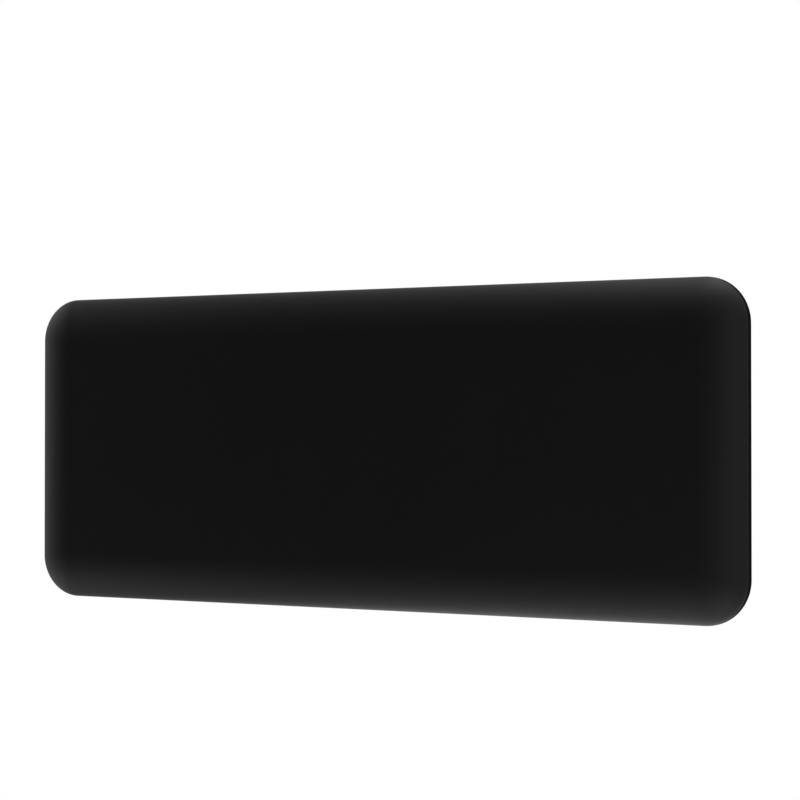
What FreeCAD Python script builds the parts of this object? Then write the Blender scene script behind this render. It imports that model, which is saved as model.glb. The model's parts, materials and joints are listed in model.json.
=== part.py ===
import FreeCAD
import Part
import math
import os

V = FreeCAD.Vector

# Wall-hung electric panel heater. All lengths are in millimetres.
# X runs along the heater, Y points into the wall and Z points up.
# The origin is the centre of the bracket's screw pattern, on the wall plane.

# Overall sizes
panel_width = 900.0
panel_height = 352.0
corner_radius = 48.0
overall_depth = 86.0  # wall to front face
wall_gap = 24.0  # wall to the back of the casing

# Fits that several pieces share
slip_gap = 0.3  # between pieces that pass or face each other
running_gap = 0.05  # radial play of a turning fit
press_gap = 0.02  # radial play of a pin that stays in its hole
overrun = 1.0  # how far a cutter passes the face that it cuts
tiny = 1e-6  # two points closer than this are one point
quarter_turn = 90.0

# Front panel: pressed steel pan with a soft edge, a short rim and an inward lip
front_sheet = 1.0
edge_run = 44.0  # width of the soft edge, seen from the front
edge_fall = 30.0  # depth of the soft edge
edge_handle_share = 0.5  # how far the soft edge leans into its corner
rim_depth = 6.0
rim_bend = 3.0
lip_width = 24.0

# Rear casing: shallow sheet steel pan screwed to the lip
casing_sheet = 0.8
casing_inset = 26.0  # front outline to casing wall
casing_bend = 6.0
flange_width = 13.0
bead_length = 360.0
bead_width = 18.0
bead_height = 2.0
bead_draft = 3.0
bead_pitch = 52.0
bead_count = 3
bead_middle_z = 26.0
inlet_slot_width = 5.0
inlet_slot_length = 14.0
inlet_pitch = 11.0
inlet_end_gap = 44.0
louvre_length = 24.0
louvre_width = 4.0
louvre_pitch = 32.0
louvre_row_pitch = 11.0
louvre_rows = 2
louvre_end_gap = 70.0
louvre_bottom_gap = 16.0  # casing bottom to the lowest louvre row
louvre_lug_gap = 6.0  # louvre end to hinge lug

# Casing screws through flange and lip
screw_radius = 1.6
screw_pilot_gap = 0.1
screw_length = 8.0
screw_head_radius = 3.6
screw_head_height = 2.2
screws_along_top = 6
screws_along_end = 2
screw_corner_gap = 20.0

# Outlet grille in the casing's top wall
grille_thickness = 2.4
grille_margin = 1.1
grille_seat = 1.6
grille_border = 3.0
grille_end_gap = 24.0
grille_pitch = 8.0
grille_rib = 3.0
grille_corner = 2.0
grille_leg_depth = 5.0
grille_leg_width = 9.0
grille_leg_thickness = 1.2
grille_leg_count = 6

# Heating element
element_left_gap = 76.0  # casing end to the fins
element_board_gap = 70.0  # fins to the power board
element_depth = 29.0  # front face to the element's axis
element_drop = 52.0  # middle of the heater to the element's axis
element_tube_radius = 8.0
rod_radius = 5.0
rod_gap = 0.1
rod_overhang = 30.0
terminal_radius = 2.0
terminal_length = 12.0
wing_thickness = 1.6
wing_reach_y = 16.0
wing_reach_z = 30.0
wing_slot_width = 3.0
wing_slot_pitch = 15.0
wing_slot_margin = 5.0

# Element holders
holder_sheet = 1.2
holder_bend = 2.0
holder_gap = 14.0  # end of the fins to the holder's web
holder_foot = 14.0
holder_half_height = 36.0
insulator_radius = 10.0
insulator_flange_radius = 13.0
insulator_flange = 3.0
insulator_length = 16.0

# Heat shield behind the element and baffle in front of it
shield_sheet = 0.6
shield_stand_off = 6.0
shield_foot = 8.0
shield_edge_gap = 60.0  # casing top to the fold of the shield
shield_end_gap = 6.0
baffle_sheet = 0.6
baffle_gap = 5.0
baffle_edge_gap = 34.0  # casing top to the fold of the baffle
baffle_side_overhang = 20.0
baffle_top_gap = 1.0

# Thermal limiter on the heat shield
limiter_radius = 8.0
limiter_height = 9.0
limiter_flange_length = 30.0
limiter_flange_width = 9.0
limiter_flange_thickness = 1.0
limiter_blade_length = 8.0
limiter_blade_width = 5.0
limiter_blade_thickness = 0.8
limiter_blade_spacing = 8.0
limiter_right_gap = 60.0  # right end of the shield to the limiter
limiter_rise = 40.0  # element axis to the limiter

# Room sensor in the air inlet
sensor_radius = 2.5
sensor_length = 16.0
sensor_clip_width = 10.0
sensor_clip_height = 9.0
sensor_clip_length = 8.0
sensor_left_of_gland = 62.0
sensor_lead_run = 8.0

# Control pod on the casing's top wall
pod_length = 136.0
pod_end_gap = 26.0  # casing end to the pod
pod_height = 14.0
pod_wall = 2.0
pod_corner = 5.0
pod_back_gap = 1.5  # back of the casing to the pod
pod_neck_depth = 8.0
pod_neck_inset = 6.0
pod_boss_radius = 2.4
pod_boss_inset = 5.0
fascia_thickness = 3.0
fascia_edge = 1.0
fascia_rim = 1.6
fascia_rim_depth = 2.0

# Display under the fascia
window_length = 42.0
window_width = 14.0
window_thickness = 1.8
window_ledge = 1.6
window_corner = 2.0
window_end_gap = 8.0
display_length = 34.0
display_width = 10.0

# Push buttons and the switches under them
button_names = ("button_power", "button_minus", "button_plus", "button_menu")
button_length = 13.0
button_width = 12.0
button_corner = 2.5
button_edge = 0.8
button_pitch = 18.5
button_proud = 1.2
button_travel = 0.8
button_flange = 1.2
button_flange_thickness = 1.2
button_window_gap = 15.0  # window to the middle of the first button
stem_radius = 1.5
stem_gap = 0.2
tact_size = 6.0
tact_height = 3.4
tact_floor = 0.4

# Circuit boards
board_thickness = 1.6
display_board_inset = 3.4
display_board_rise = 3.4  # pod floor to the board
board_screw_radius = 1.2
board_screw_length = 5.0
board_screw_head_radius = 2.2
board_screw_head_height = 1.4
wifi_length = 16.0
wifi_width = 11.0
wifi_height = 2.4
power_board_length = 96.0
power_board_height = 112.0
power_board_end_gap = 16.0
power_board_rise = 22.0  # middle of the heater to the middle of the board
standoff_length = 11.0
standoff_radius = 3.0
standoff_inset = 6.0
relay_length = 20.0
relay_height = 16.0
relay_depth = 15.0
transformer_length = 20.0
transformer_height = 18.0
transformer_depth = 16.0
transformer_core = 6.0
capacitor_length = 18.0
capacitor_height = 8.0
capacitor_depth = 14.0
block_length = 32.0
block_height = 12.0
block_depth = 13.0
block_ways = 4
block_screw_radius = 2.0
block_screw_depth = 4.0
heatsink_length = 30.0
heatsink_height = 26.0
heatsink_depth = 20.0
heatsink_fins = 6
heatsink_fin_thickness = 1.5
heatsink_base = 3.0
board_part_inset = 12.0

# Rocker main switch in the casing's right end
rocker_half_length = 8.6
rocker_half_width = 5.0
rocker_valley = 2.6  # pivot to the middle of the paddle's face
rocker_peak = 4.4  # pivot to the ends of the paddle's face
rocker_hub = 4.0
rocker_throw = 18.0  # degrees from one stop to the other
rocker_trunnion_radius = 1.2
rocker_trunnion_length = 0.8
rocker_side_gap = 0.3
rocker_wall = 1.3
rocker_body_depth = 17.0
rocker_bezel = 1.4
rocker_bezel_thickness = 1.8
rocker_drop = 92.0  # middle of the heater to the switch
rocker_blade_length = 7.0
rocker_blade_width = 4.8
rocker_blade_thickness = 0.8
rocker_blade_spacing = 8.0
rocker_corner = 1.5

# Mains entry in the casing's bottom wall
gland_bore = 3.7  # radius, for a 7 mm lead
gland_radius = 6.0
gland_flange_radius = 9.0
gland_flange = 3.0
gland_tail = 12.0  # tapered sleeve below the flange
gland_tail_radius = 5.4
gland_inside = 14.0
gland_end_gap = 52.0  # casing end to the gland
gland_hole_gap = 0.2
gland_nut_height = 5.0
gland_nut_flats = 17.0

# Wires inside the casing
wire_radius = 1.3
lead_radius = 1.0
wire_bend = 6.0
wire_step = 14.0  # how far one wire passes in front of another
wire_entry = 20.0  # straight run into the terminal block
wire_end_gap = 16.0  # straight run out of a terminal
clip_length = 10.0
clip_wall = 1.2
clip_count = 4
clip_stand_off = 5.0
clip_end_gap = 70.0
feed_rise = 22.0  # casing bottom to the wire that runs along it
feed_end_gap = 20.0  # casing's left end to that wire
ribbon_width = 14.0
ribbon_thickness = 0.9

# Earth stud on the casing's back
stud_radius = 2.0
stud_length = 11.0
stud_washer_radius = 4.5
stud_washer = 4.0
stud_washer_gap = 4.0
stud_rise = 45.0  # casing bottom to the stud

# Wall bracket
bracket_sheet = 2.0
bracket_bend = 2.0
arm_end_gap = 210.0  # end of the panel to the middle of an arm
arm_width = 40.0
arm_depth = 21.0
arm_top_drop = 4.0  # casing top to the end of the arm's side walls
bolt_end_gap = 96.0  # edge of the panel to the nearest wall screw
bolt_radius = 2.75
rail_height = 38.0
rail_depth = 12.0
rail_sheet = 1.5
rail_bend = 1.5
rail_top_gap = 42.0  # casing top to the middle of the upper rail
rail_pivot_gap = 66.0  # hinge pin to the middle of the lower rail
rail_tab_depth = 15.0
rivet_radius = 2.0
rivet_head_radius = 3.8
rivet_head_height = 1.2
rail_rivet_spacing = 22.0
pad_height = 34.0
pad_width = 7.0
pad_grip = 4.5  # how far the pad reaches back over the arm's edge
pad_top_gap = 24.0  # casing top to the pad

# Hinge at the bottom of the bracket
pivot_depth = 13.0  # wall to the hinge pin
pivot_rise = 38.0  # casing bottom to the hinge pin
pin_radius = 3.0
pin_head_radius = 4.5
pin_head_length = 1.6
hook_radius = 8.0
hook_tine = 9.0
hook_mouth = 34.0
hook_tip = 1.5
lug_sheet = 2.0
lug_side_gap = 1.5
lug_half_height = 15.0
lug_nose = 7.0
lug_rivet_spacing = 15.0

# Quarter-turn locks at the top of the bracket
tab_reach = 21.0
tab_corner = 6.0
lock_depth = 10.0  # wall to the lock's axis
lock_hub_radius = 5.0
lock_head_radius = 9.0
lock_head_height = 4.0
lock_wing_length = 15.0
lock_wing_width = 4.0
lock_wing_height = 2.5
lock_arm_width = 8.0
lock_arm_thickness = 2.6
lock_nose_thickness = 4.0
lock_nose_gap = 0.8
keeper_thickness = 1.5
keeper_rise = 8.0
keeper_half_width = 14.0
keeper_overlap = 3.0
keeper_base_height = 26.0
keeper_base_drop = 6.0
keeper_corner = 3.0
keeper_rivet_spacing = 16.0
nose_floor_gap = 2.0  # casing top to the lock's nose

# Levels and places worked out from the sizes above
front_y = -overall_depth
back_y = -wall_gap
lip_y = front_y + edge_fall + rim_depth
back_inner_y = back_y - casing_sheet
casing_half_w = panel_width / 2 - casing_inset
casing_top = panel_height / 2 - casing_inset
casing_bottom = -casing_top
casing_floor = casing_bottom + casing_sheet
wall_front_y = lip_y + casing_sheet
wall_rear_y = back_y - casing_bend
wall_mid_y = (wall_front_y + wall_rear_y) / 2
wall_flat = wall_rear_y - wall_front_y
flange_inset = casing_inset - flange_width
screw_inset = (flange_inset + casing_inset) / 2

power_board_right = casing_half_w - power_board_end_gap
power_board_left = power_board_right - power_board_length

element_y = front_y + element_depth
element_z = -element_drop
fins_left = element_left_gap - casing_half_w
fins_right = power_board_left - element_board_gap
element_length = fins_right - fins_left
baffle_y = front_y + front_sheet + baffle_gap
baffle_rear_y = baffle_y + baffle_sheet
shield_y = back_inner_y - shield_stand_off
holder_left = fins_left - holder_gap
holder_right = fins_right + holder_gap
shield_half_height = casing_top - shield_edge_gap
baffle_half_height = casing_top - baffle_edge_gap
shield_left = fins_left + shield_end_gap
shield_right = fins_right - shield_end_gap
rod_left = fins_left - rod_overhang
rod_right = fins_right + rod_overhang

pod_right = casing_half_w - pod_end_gap
pod_left = pod_right - pod_length
pod_front_y = wall_front_y + slip_gap
pod_rear_y = back_y - pod_back_gap
pod_mid_y = (pod_front_y + pod_rear_y) / 2
pod_width = pod_rear_y - pod_front_y
pod_floor = casing_top + pod_wall
pod_top = casing_top + pod_height
fascia_top = pod_top + fascia_thickness
display_board_z = pod_floor + display_board_rise
display_board_top = display_board_z + board_thickness
window_middle_x = pod_left + window_end_gap + window_length / 2
first_button_x = pod_left + window_end_gap + window_length + button_window_gap
neck_left = pod_left + pod_neck_inset
neck_right = pod_right - pod_neck_inset
neck_front_y = wall_front_y + grille_margin
neck_rear_y = wall_rear_y - grille_margin
grille_left = grille_end_gap - casing_half_w
grille_right = pod_left - grille_end_gap / 2

power_board_y = back_inner_y - standoff_length
power_board_face_y = power_board_y - board_thickness
power_board_top = power_board_rise + power_board_height / 2
power_board_bottom = power_board_rise - power_board_height / 2

rocker_z = -rocker_drop
rocker_pivot_x = casing_half_w - rocker_valley
rocker_cavity_half = math.hypot(rocker_half_length, rocker_peak) + rocker_side_gap
rocker_body_half_w = rocker_half_width + rocker_side_gap + rocker_wall
rocker_body_half_l = rocker_cavity_half + rocker_wall
rocker_floor_x = casing_half_w - rocker_body_depth

gland_x = casing_half_w - gland_end_gap
gland_top = casing_bottom + gland_inside
feed_y = back_inner_y - clip_stand_off
feed_z = casing_bottom + feed_rise
feed_left_x = feed_end_gap - casing_half_w

arm_x = panel_width / 2 - arm_end_gap
bolt_z = panel_height / 2 - bolt_end_gap
arm_half = arm_width / 2
pivot_y = -pivot_depth
pivot_z = casing_bottom + pivot_rise
hook_bore = pin_radius + running_gap
arm_bottom = pivot_z - hook_radius
rail_upper_z = casing_top - rail_top_gap
rail_lower_z = pivot_z + rail_pivot_gap
lug_inner = arm_half + lug_side_gap
lock_y = -lock_depth
lip_top = casing_top + keeper_rise
lock_arm_z = lip_top + slip_gap * 2
tab_z = lock_arm_z + lock_arm_thickness + slip_gap
tab_top = tab_z + bracket_sheet
lock_nose_inner = wall_gap - lock_depth + lock_nose_gap
lock_nose_outer = lock_nose_inner + lock_nose_thickness


# Solids and outlines that the pieces are made from


def block(x0, x1, y0, y1, z0, z1):
    return Part.makeBox(x1 - x0, y1 - y0, z1 - z0, V(x0, y0, z0))


def rod_x(radius, x0, x1, y, z):
    return Part.makeCylinder(radius, x1 - x0, V(x0, y, z), V(1, 0, 0))


def rod_y(radius, y0, y1, x, z):
    return Part.makeCylinder(radius, y1 - y0, V(x, y0, z), V(0, 1, 0))


def rod_z(radius, z0, z1, x, y):
    return Part.makeCylinder(radius, z1 - z0, V(x, y, z0), V(0, 0, 1))


def xy(z):
    return lambda x, y: V(x, y, z)


def xz(y):
    return lambda x, z: V(x, y, z)


def yz(x):
    return lambda y, z: V(x, y, z)


def rounded_wire(points, radii, closed=True):
    """Straight runs joined by tangent arcs; radii is one value or one for each point."""
    count = len(points)
    radii = list(radii) if isinstance(radii, (list, tuple)) else [radii] * count
    if not closed:
        radii[0] = radii[-1] = 0
    starts, middles, ends = [], [], []
    for i, corner in enumerate(points):
        if not radii[i]:
            starts.append(corner)
            middles.append(None)
            ends.append(corner)
            continue
        back = (points[i - 1] - corner).normalize()
        ahead = (points[(i + 1) % count] - corner).normalize()
        half_angle = back.getAngle(ahead) / 2
        reach = radii[i] / math.tan(half_angle)
        inwards = (back + ahead).normalize()
        starts.append(corner + back * reach)
        middles.append(corner + inwards * (radii[i] / math.sin(half_angle) - radii[i]))
        ends.append(corner + ahead * reach)
    edges = []
    for i in range(count):
        if middles[i] is not None:
            edges.append(Part.Arc(starts[i], middles[i], ends[i]).toShape())
        if closed or i < count - 1:
            target = starts[(i + 1) % count]
            if (target - ends[i]).Length > tiny:
                edges.append(Part.LineSegment(ends[i], target).toShape())
    return Part.Wire(edges)


def plate(points, radii, run):
    """Flat plate with rounded corners, extruded along run."""
    return Part.Face(rounded_wire(points, radii)).extrude(run)


def rectangle(plane, a0, a1, b0, b1):
    return [plane(a0, b0), plane(a1, b0), plane(a1, b1), plane(a0, b1)]


def slab(width, height, radius, y0, y1, x=0, z=0):
    """Rounded rectangle facing the front, from depth y0 to y1."""
    corners = rectangle(xz(y0), x - width / 2, x + width / 2, z - height / 2, z + height / 2)
    return plate(corners, radius, V(0, y1 - y0, 0))


def pill_z(x, y, size_x, size_y, radius, z0, z1):
    """Rounded rectangle lying flat, from height z0 to z1."""
    corners = rectangle(xy(z0), x - size_x / 2, x + size_x / 2, y - size_y / 2, y + size_y / 2)
    return plate(corners, radius, V(0, 0, z1 - z0))


def beside(points, distance):
    """A polyline moved to its left by a distance, mitred at its corners."""
    moved = []
    for i, (a, b) in enumerate(points):
        normals = []
        for p, q in zip(points[max(i - 1, 0) : i + 1], points[max(i - 1, 0) + 1 : i + 2]):
            length = math.hypot(q[0] - p[0], q[1] - p[1])
            normals.append((-(q[1] - p[1]) / length, (q[0] - p[0]) / length))
        total = [sum(n[k] for n in normals) for k in range(2)]
        share = len(normals) / (total[0] ** 2 + total[1] ** 2)
        moved.append((a + total[0] * distance * share, b + total[1] * distance * share))
    return moved


def folded(points, thickness, bend, plane, run):
    """Folded sheet on one side of a polyline: its left, or its right where the thickness is negative."""
    if thickness < 0:
        points, thickness = points[::-1], -thickness
    right, left = [bend], [bend]
    for before, here, after in zip(points, points[1:], points[2:]):
        turn = (here[0] - before[0]) * (after[1] - here[1]) - (here[1] - before[1]) * (after[0] - here[0])
        right.append(bend + thickness if turn > 0 else bend)
        left.append(bend if turn > 0 else bend + thickness)
    near = rounded_wire([plane(*p) for p in points], right + [bend], closed=False)
    far = rounded_wire([plane(*p) for p in beside(points, thickness)], left + [bend], closed=False)
    caps = []
    for end in (0, -1):
        a = near.OrderedVertexes[end].Point
        b = far.OrderedVertexes[end].Point
        caps.append(Part.LineSegment(a, b).toShape())
    outline = Part.Wire(Part.__sortEdges__(near.Edges + far.Edges + caps))
    return Part.Face(outline).extrude(run)


def swept_ring(section):
    """Carries a section round the front's outline; it is drawn at the right end, in the plane z = 0."""
    side_run = panel_height / 2 - corner_radius
    top_run = panel_width / 2 - corner_radius
    hub = V(top_run, 0, side_run)
    at_corner = section.translated(V(0, 0, side_run))
    side = section.translated(V(0, 0, -side_run)).extrude(V(0, 0, 2 * side_run))
    corner = at_corner.revolve(hub, V(0, -1, 0), quarter_turn)
    top = at_corner.rotated(hub, V(0, -1, 0), quarter_turn).extrude(V(-2 * top_run, 0, 0))
    left_corner = mirrored_x(corner)
    pieces = [side, mirrored_x(side), top, mirrored_z(top)]
    pieces += [corner, left_corner, mirrored_z(corner), mirrored_z(left_corner)]
    return pieces[0].fuse(pieces[1:])


def mirrored_x(shape):
    return shape.mirror(V(0, 0, 0), V(1, 0, 0))


def mirrored_z(shape):
    return shape.mirror(V(0, 0, 0), V(0, 0, 1))


def spread(first, last, count):
    """Evenly spaced places from first to last."""
    return [first + (last - first) * i / (count - 1) for i in range(count)]


def pattern(first, last, pitch):
    """As many places at a pitch as fit from first to last, centred."""
    count = int((last - first) // pitch) + 1
    start = (first + last - (count - 1) * pitch) / 2
    return [start + i * pitch for i in range(count)]


def cut_all(shape, cutters):
    return shape.cut(Part.makeCompound(cutters))


def tidy(shape):
    """One clean solid, with faces that continue each other merged."""
    merged = shape.removeSplitter()
    return merged.Solids[0] if len(merged.Solids) == 1 else merged


def tube(points, radius):
    """Wire of round section along straight runs joined by tangent arcs."""
    path = rounded_wire(points, wire_bend, closed=False)
    start = path.OrderedEdges[0]
    ring = Part.makeCircle(radius, points[0], start.tangentAt(start.FirstParameter))
    return Part.Wire(path.OrderedEdges).makePipeShell([Part.Wire([ring])], True, False)


def outlined(inset, y):
    """A point of a section, so far inside the front's outline, at a depth."""
    return V(panel_width / 2 - inset, y, 0)


# Casing


def soft_edge(sheet):
    """Curve of the pressed edge, from the flat front round to the rim, with that much sheet taken off."""
    run = edge_run - sheet
    fall = edge_fall - sheet
    rim_y = front_y + edge_fall
    curve = Part.BezierCurve()
    curve.setPoles(
        [
            outlined(edge_run, rim_y - fall),
            outlined(edge_run - run * edge_handle_share, rim_y - fall),
            outlined(sheet, rim_y - fall * edge_handle_share),
            outlined(sheet, rim_y),
        ]
    )
    return curve.toShape()


def front_section():
    rim_y = front_y + edge_fall
    inner_y = lip_y - front_sheet
    outside = [outlined(0, rim_y), outlined(0, lip_y), outlined(lip_width, lip_y)]
    inside = [outlined(front_sheet, rim_y), outlined(front_sheet, inner_y), outlined(lip_width, inner_y)]
    edges = [soft_edge(0), soft_edge(front_sheet)]
    edges += rounded_wire(outside, rim_bend, closed=False).Edges
    edges += rounded_wire(inside, rim_bend - front_sheet, closed=False).Edges
    edges.append(Part.LineSegment(outlined(lip_width, lip_y), outlined(lip_width, inner_y)).toShape())
    edges.append(
        Part.LineSegment(outlined(edge_run, front_y), outlined(edge_run, front_y + front_sheet)).toShape()
    )
    return Part.Face(Part.Wire(Part.__sortEdges__(edges)))


def screw_places():
    """Where the casing screws go, as x and z."""
    along = panel_width / 2 - corner_radius - screw_corner_gap
    up = panel_height / 2 - corner_radius - screw_corner_gap
    edge_x = panel_width / 2 - screw_inset
    edge_z = panel_height / 2 - screw_inset
    places = [(x, -edge_z) for x in spread(-along, along, screws_along_top)]
    places += [(x, edge_z) for x in spread(-along, pod_left - screw_corner_gap, screws_along_top)]
    places += [(side * edge_x, z) for z in spread(-up, up, screws_along_end) for side in (-1, 1)]
    return places


def front_panel():
    flat = slab(
        panel_width - 2 * edge_run,
        panel_height - 2 * edge_run,
        corner_radius - edge_run,
        front_y,
        front_y + front_sheet,
    )
    pilots = [
        rod_y(screw_radius + screw_pilot_gap, lip_y - front_sheet - overrun, lip_y + overrun, x, z)
        for x, z in screw_places()
    ]
    return tidy(cut_all(flat.fuse(swept_ring(front_section())), pilots))


def casing_section():
    inner = casing_inset + casing_sheet
    rear = casing_inset + casing_bend
    points = [
        outlined(flange_inset, lip_y),
        outlined(flange_inset, wall_front_y),
        outlined(casing_inset, wall_front_y),
        outlined(casing_inset, back_y),
        outlined(rear, back_y),
        outlined(rear, back_inner_y),
        outlined(inner, back_inner_y),
        outlined(inner, lip_y),
    ]
    radii = [0, 0, 0, casing_bend, 0, 0, casing_bend - casing_sheet, 0]
    return Part.Face(rounded_wire(points, radii))


def bead(z, rise, length, width):
    """Pressed stiffening bead with sloping sides, standing out of the back by a rise."""
    wires = []
    for depth, draft in ((rise - bead_height, 0), (rise, bead_draft)):
        half_l, half_w = length / 2 - draft, width / 2 - draft
        corners = rectangle(xz(back_y + depth), -half_l, half_l, z - half_w, z + half_w)
        wires.append(rounded_wire(corners, half_w))
    return Part.makeLoft(wires, True, True)


def louvre_places():
    """Middles of the air slots in the lower back, clear of the hinge lugs."""
    end = casing_half_w - louvre_end_gap
    lug_half = lug_inner + lug_sheet + louvre_lug_gap + louvre_length / 2
    lowest = casing_bottom + louvre_bottom_gap
    places = []
    for row in range(louvre_rows):
        for x in pattern(-end, end, louvre_pitch):
            if abs(abs(x) - arm_x) > lug_half:
                places.append((x, lowest + row * louvre_row_pitch))
    return places


def lug_rivet_places():
    return [
        (side * arm_x + dx * lug_rivet_spacing / 2, pivot_z + dz * lug_rivet_spacing / 2)
        for side in (-1, 1)
        for dx, dz in ((-1, -1), (1, 1))
    ]


def keeper_rivet_places():
    z = casing_top - keeper_base_drop - keeper_base_height / 2
    return [(side * arm_x + dx * keeper_rivet_spacing / 2, z) for side in (-1, 1) for dx in (-1, 1)]


def rear_casing():
    rear = casing_inset + casing_bend
    back = slab(
        panel_width - 2 * rear, panel_height - 2 * rear, corner_radius - rear, back_inner_y, back_y
    )
    shell = back.fuse(swept_ring(casing_section()))
    beads = [bead_middle_z + (i - (bead_count - 1) / 2) * bead_pitch for i in range(bead_count)]
    shell = shell.fuse([bead(z, bead_height, bead_length, bead_width) for z in beads])
    hollows = [
        bead(z, bead_height - casing_sheet, bead_length - 2 * casing_sheet, bead_width - 2 * casing_sheet)
        for z in beads
    ]
    through = (back_inner_y - overrun, back_y + overrun)
    top = (casing_top - casing_sheet - overrun, casing_top + overrun)
    bottom = (casing_bottom - overrun, casing_floor + overrun)
    cuts = hollows
    cuts += [
        slab(louvre_length, louvre_width, louvre_width / 2, *through, x, z) for x, z in louvre_places()
    ]
    cuts += [
        pill_z(x, wall_mid_y, inlet_slot_width, inlet_slot_length, inlet_slot_width / 2, *bottom)
        for x in pattern(inlet_end_gap - casing_half_w, gland_x - inlet_end_gap, inlet_pitch)
    ]
    cuts += [
        rod_y(screw_radius + slip_gap, lip_y - overrun, wall_front_y + overrun, x, z)
        for x, z in screw_places()
    ]
    cuts += [
        rod_y(rivet_radius + press_gap, *through, x, z) for x, z in lug_rivet_places() + keeper_rivet_places()
    ]
    grille_edge = grille_margin + grille_seat
    cuts.append(
        block(
            grille_left + grille_seat,
            grille_right - grille_seat,
            wall_front_y + grille_edge,
            wall_rear_y - grille_edge,
            *top,
        )
    )
    cuts.append(block(neck_left - slip_gap, neck_right + slip_gap, neck_front_y, neck_rear_y, *top))
    cuts.append(
        block(
            casing_half_w - casing_sheet - overrun,
            casing_half_w + overrun,
            wall_mid_y - rocker_body_half_w - slip_gap,
            wall_mid_y + rocker_body_half_w + slip_gap,
            rocker_z - rocker_body_half_l - slip_gap,
            rocker_z + rocker_body_half_l + slip_gap,
        )
    )
    cuts.append(rod_z(gland_radius + gland_hole_gap, *bottom, gland_x, wall_mid_y))
    return tidy(cut_all(shell, cuts))


def casing_screws():
    screws = []
    for x, z in screw_places():
        shank = rod_y(screw_radius, wall_front_y - screw_length, wall_front_y, x, z)
        head = rod_y(screw_head_radius, wall_front_y, wall_front_y + screw_head_height, x, z)
        head = head.makeFillet(screw_head_height / 2, [head.Edges[0]])
        screws.append(shank.fuse(head).removeSplitter())
    return Part.makeCompound(screws)


def outlet_grille():
    length = grille_right - grille_left
    width = wall_flat - 2 * grille_margin
    middle_x = (grille_left + grille_right) / 2
    top = casing_top + grille_thickness
    bar = pill_z(middle_x, wall_mid_y, length, width, grille_corner, casing_top, top)
    opening = grille_pitch - grille_rib
    first = grille_left + grille_border + opening
    last = grille_right - grille_border - opening
    slots = [
        pill_z(
            x,
            wall_mid_y,
            opening,
            width - 2 * grille_border,
            opening / 2,
            casing_top - overrun,
            top + overrun,
        )
        for x in pattern(first, last, grille_pitch)
    ]
    bar = cut_all(bar, slots)
    legs = []
    inner = grille_margin + grille_seat + slip_gap
    for x in spread(first + grille_leg_width, last - grille_leg_width, grille_leg_count):
        for y0 in (wall_front_y + inner, wall_rear_y - inner - grille_leg_thickness):
            legs.append(
                block(
                    x - grille_leg_width / 2,
                    x + grille_leg_width / 2,
                    y0,
                    y0 + grille_leg_thickness,
                    casing_top - grille_leg_depth,
                    casing_top + overrun,
                )
            )
    return tidy(bar.fuse(legs).cut(Part.makeCompound(slots)))


# Heat path and element


def rear_heat_shield():
    """Folded sheet that keeps the back cool, on feet that stand on the casing's back."""
    half = shield_half_height
    points = [
        (back_inner_y, half + shield_foot),
        (back_inner_y, half),
        (shield_y, half),
        (shield_y, -half),
        (back_inner_y, -half),
        (back_inner_y, -half - shield_foot),
    ]
    return folded(points, -shield_sheet, shield_sheet, yz(shield_left), V(shield_right - shield_left, 0, 0))


def front_baffle():
    """Sheet between element and front, whose leaning top turns the warm air to the outlet."""
    points = [
        (baffle_y, -baffle_half_height),
        (baffle_y, baffle_half_height),
        (lip_y - front_sheet - baffle_top_gap, casing_top - casing_sheet - baffle_top_gap),
    ]
    left = holder_left - baffle_side_overhang
    run = holder_right + baffle_side_overhang - left
    return folded(points, -baffle_sheet, baffle_sheet, yz(left), V(run, 0, 0))


def wing(side_y, side_z):
    """One of the four long fins of the element, running outwards from its tube."""
    reach = math.hypot(wing_reach_y, wing_reach_z)
    dy, dz = side_y * wing_reach_y / reach, side_z * wing_reach_z / reach
    across = (-dz * wing_thickness / 2, dy * wing_thickness / 2)
    root = element_tube_radius - wing_thickness
    ends = [(root, 1), (reach, 1), (reach, -1), (root, -1)]
    corners = [
        V(fins_left, element_y + dy * out + across[0] * s, element_z + dz * out + across[1] * s)
        for out, s in ends
    ]
    return Part.Face(Part.makePolygon(corners + corners[:1])).extrude(V(element_length, 0, 0))


def element_fins():
    body = rod_x(element_tube_radius, fins_left, fins_right, element_y, element_z)
    body = body.fuse([wing(a, b) for a in (-1, 1) for b in (-1, 1)])
    slots = []
    inner = element_tube_radius + wing_slot_margin
    outer = wing_reach_z - wing_slot_margin
    for x in pattern(fins_left + wing_slot_pitch, fins_right - wing_slot_pitch, wing_slot_pitch):
        for z0, z1 in ((element_z + inner, element_z + outer), (element_z - outer, element_z - inner)):
            slots.append(
                block(
                    x - wing_slot_width / 2,
                    x + wing_slot_width / 2,
                    element_y - wing_reach_y - overrun,
                    element_y + wing_reach_y + overrun,
                    z0,
                    z1,
                )
            )
    slots.append(
        rod_x(rod_radius + rod_gap, fins_left - overrun, fins_right + overrun, element_y, element_z)
    )
    return tidy(cut_all(body, slots))


def element_rod():
    rod = rod_x(rod_radius, rod_left, rod_right, element_y, element_z)
    left = rod_x(terminal_radius, rod_left - terminal_length, rod_left + overrun, element_y, element_z)
    right = rod_x(terminal_radius, rod_right - overrun, rod_right + terminal_length, element_y, element_z)
    return tidy(rod.fuse([left, right]))


def element_insulator(web_x, inwards):
    """Ceramic bush in a holder's web; its flange is on the side of the fins."""
    half = insulator_length / 2
    flange_x = web_x + inwards * holder_sheet / 2
    flange_end = flange_x + inwards * insulator_flange
    body = rod_x(insulator_radius, web_x - half, web_x + half, element_y, element_z)
    low, high = sorted((flange_x, flange_end))
    flange = rod_x(insulator_flange_radius, low, high, element_y, element_z)
    bore = rod_x(
        rod_radius + rod_gap, web_x - half - overrun, web_x + half + overrun, element_y, element_z
    )
    return tidy(body.fuse(flange).cut(bore))


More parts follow.
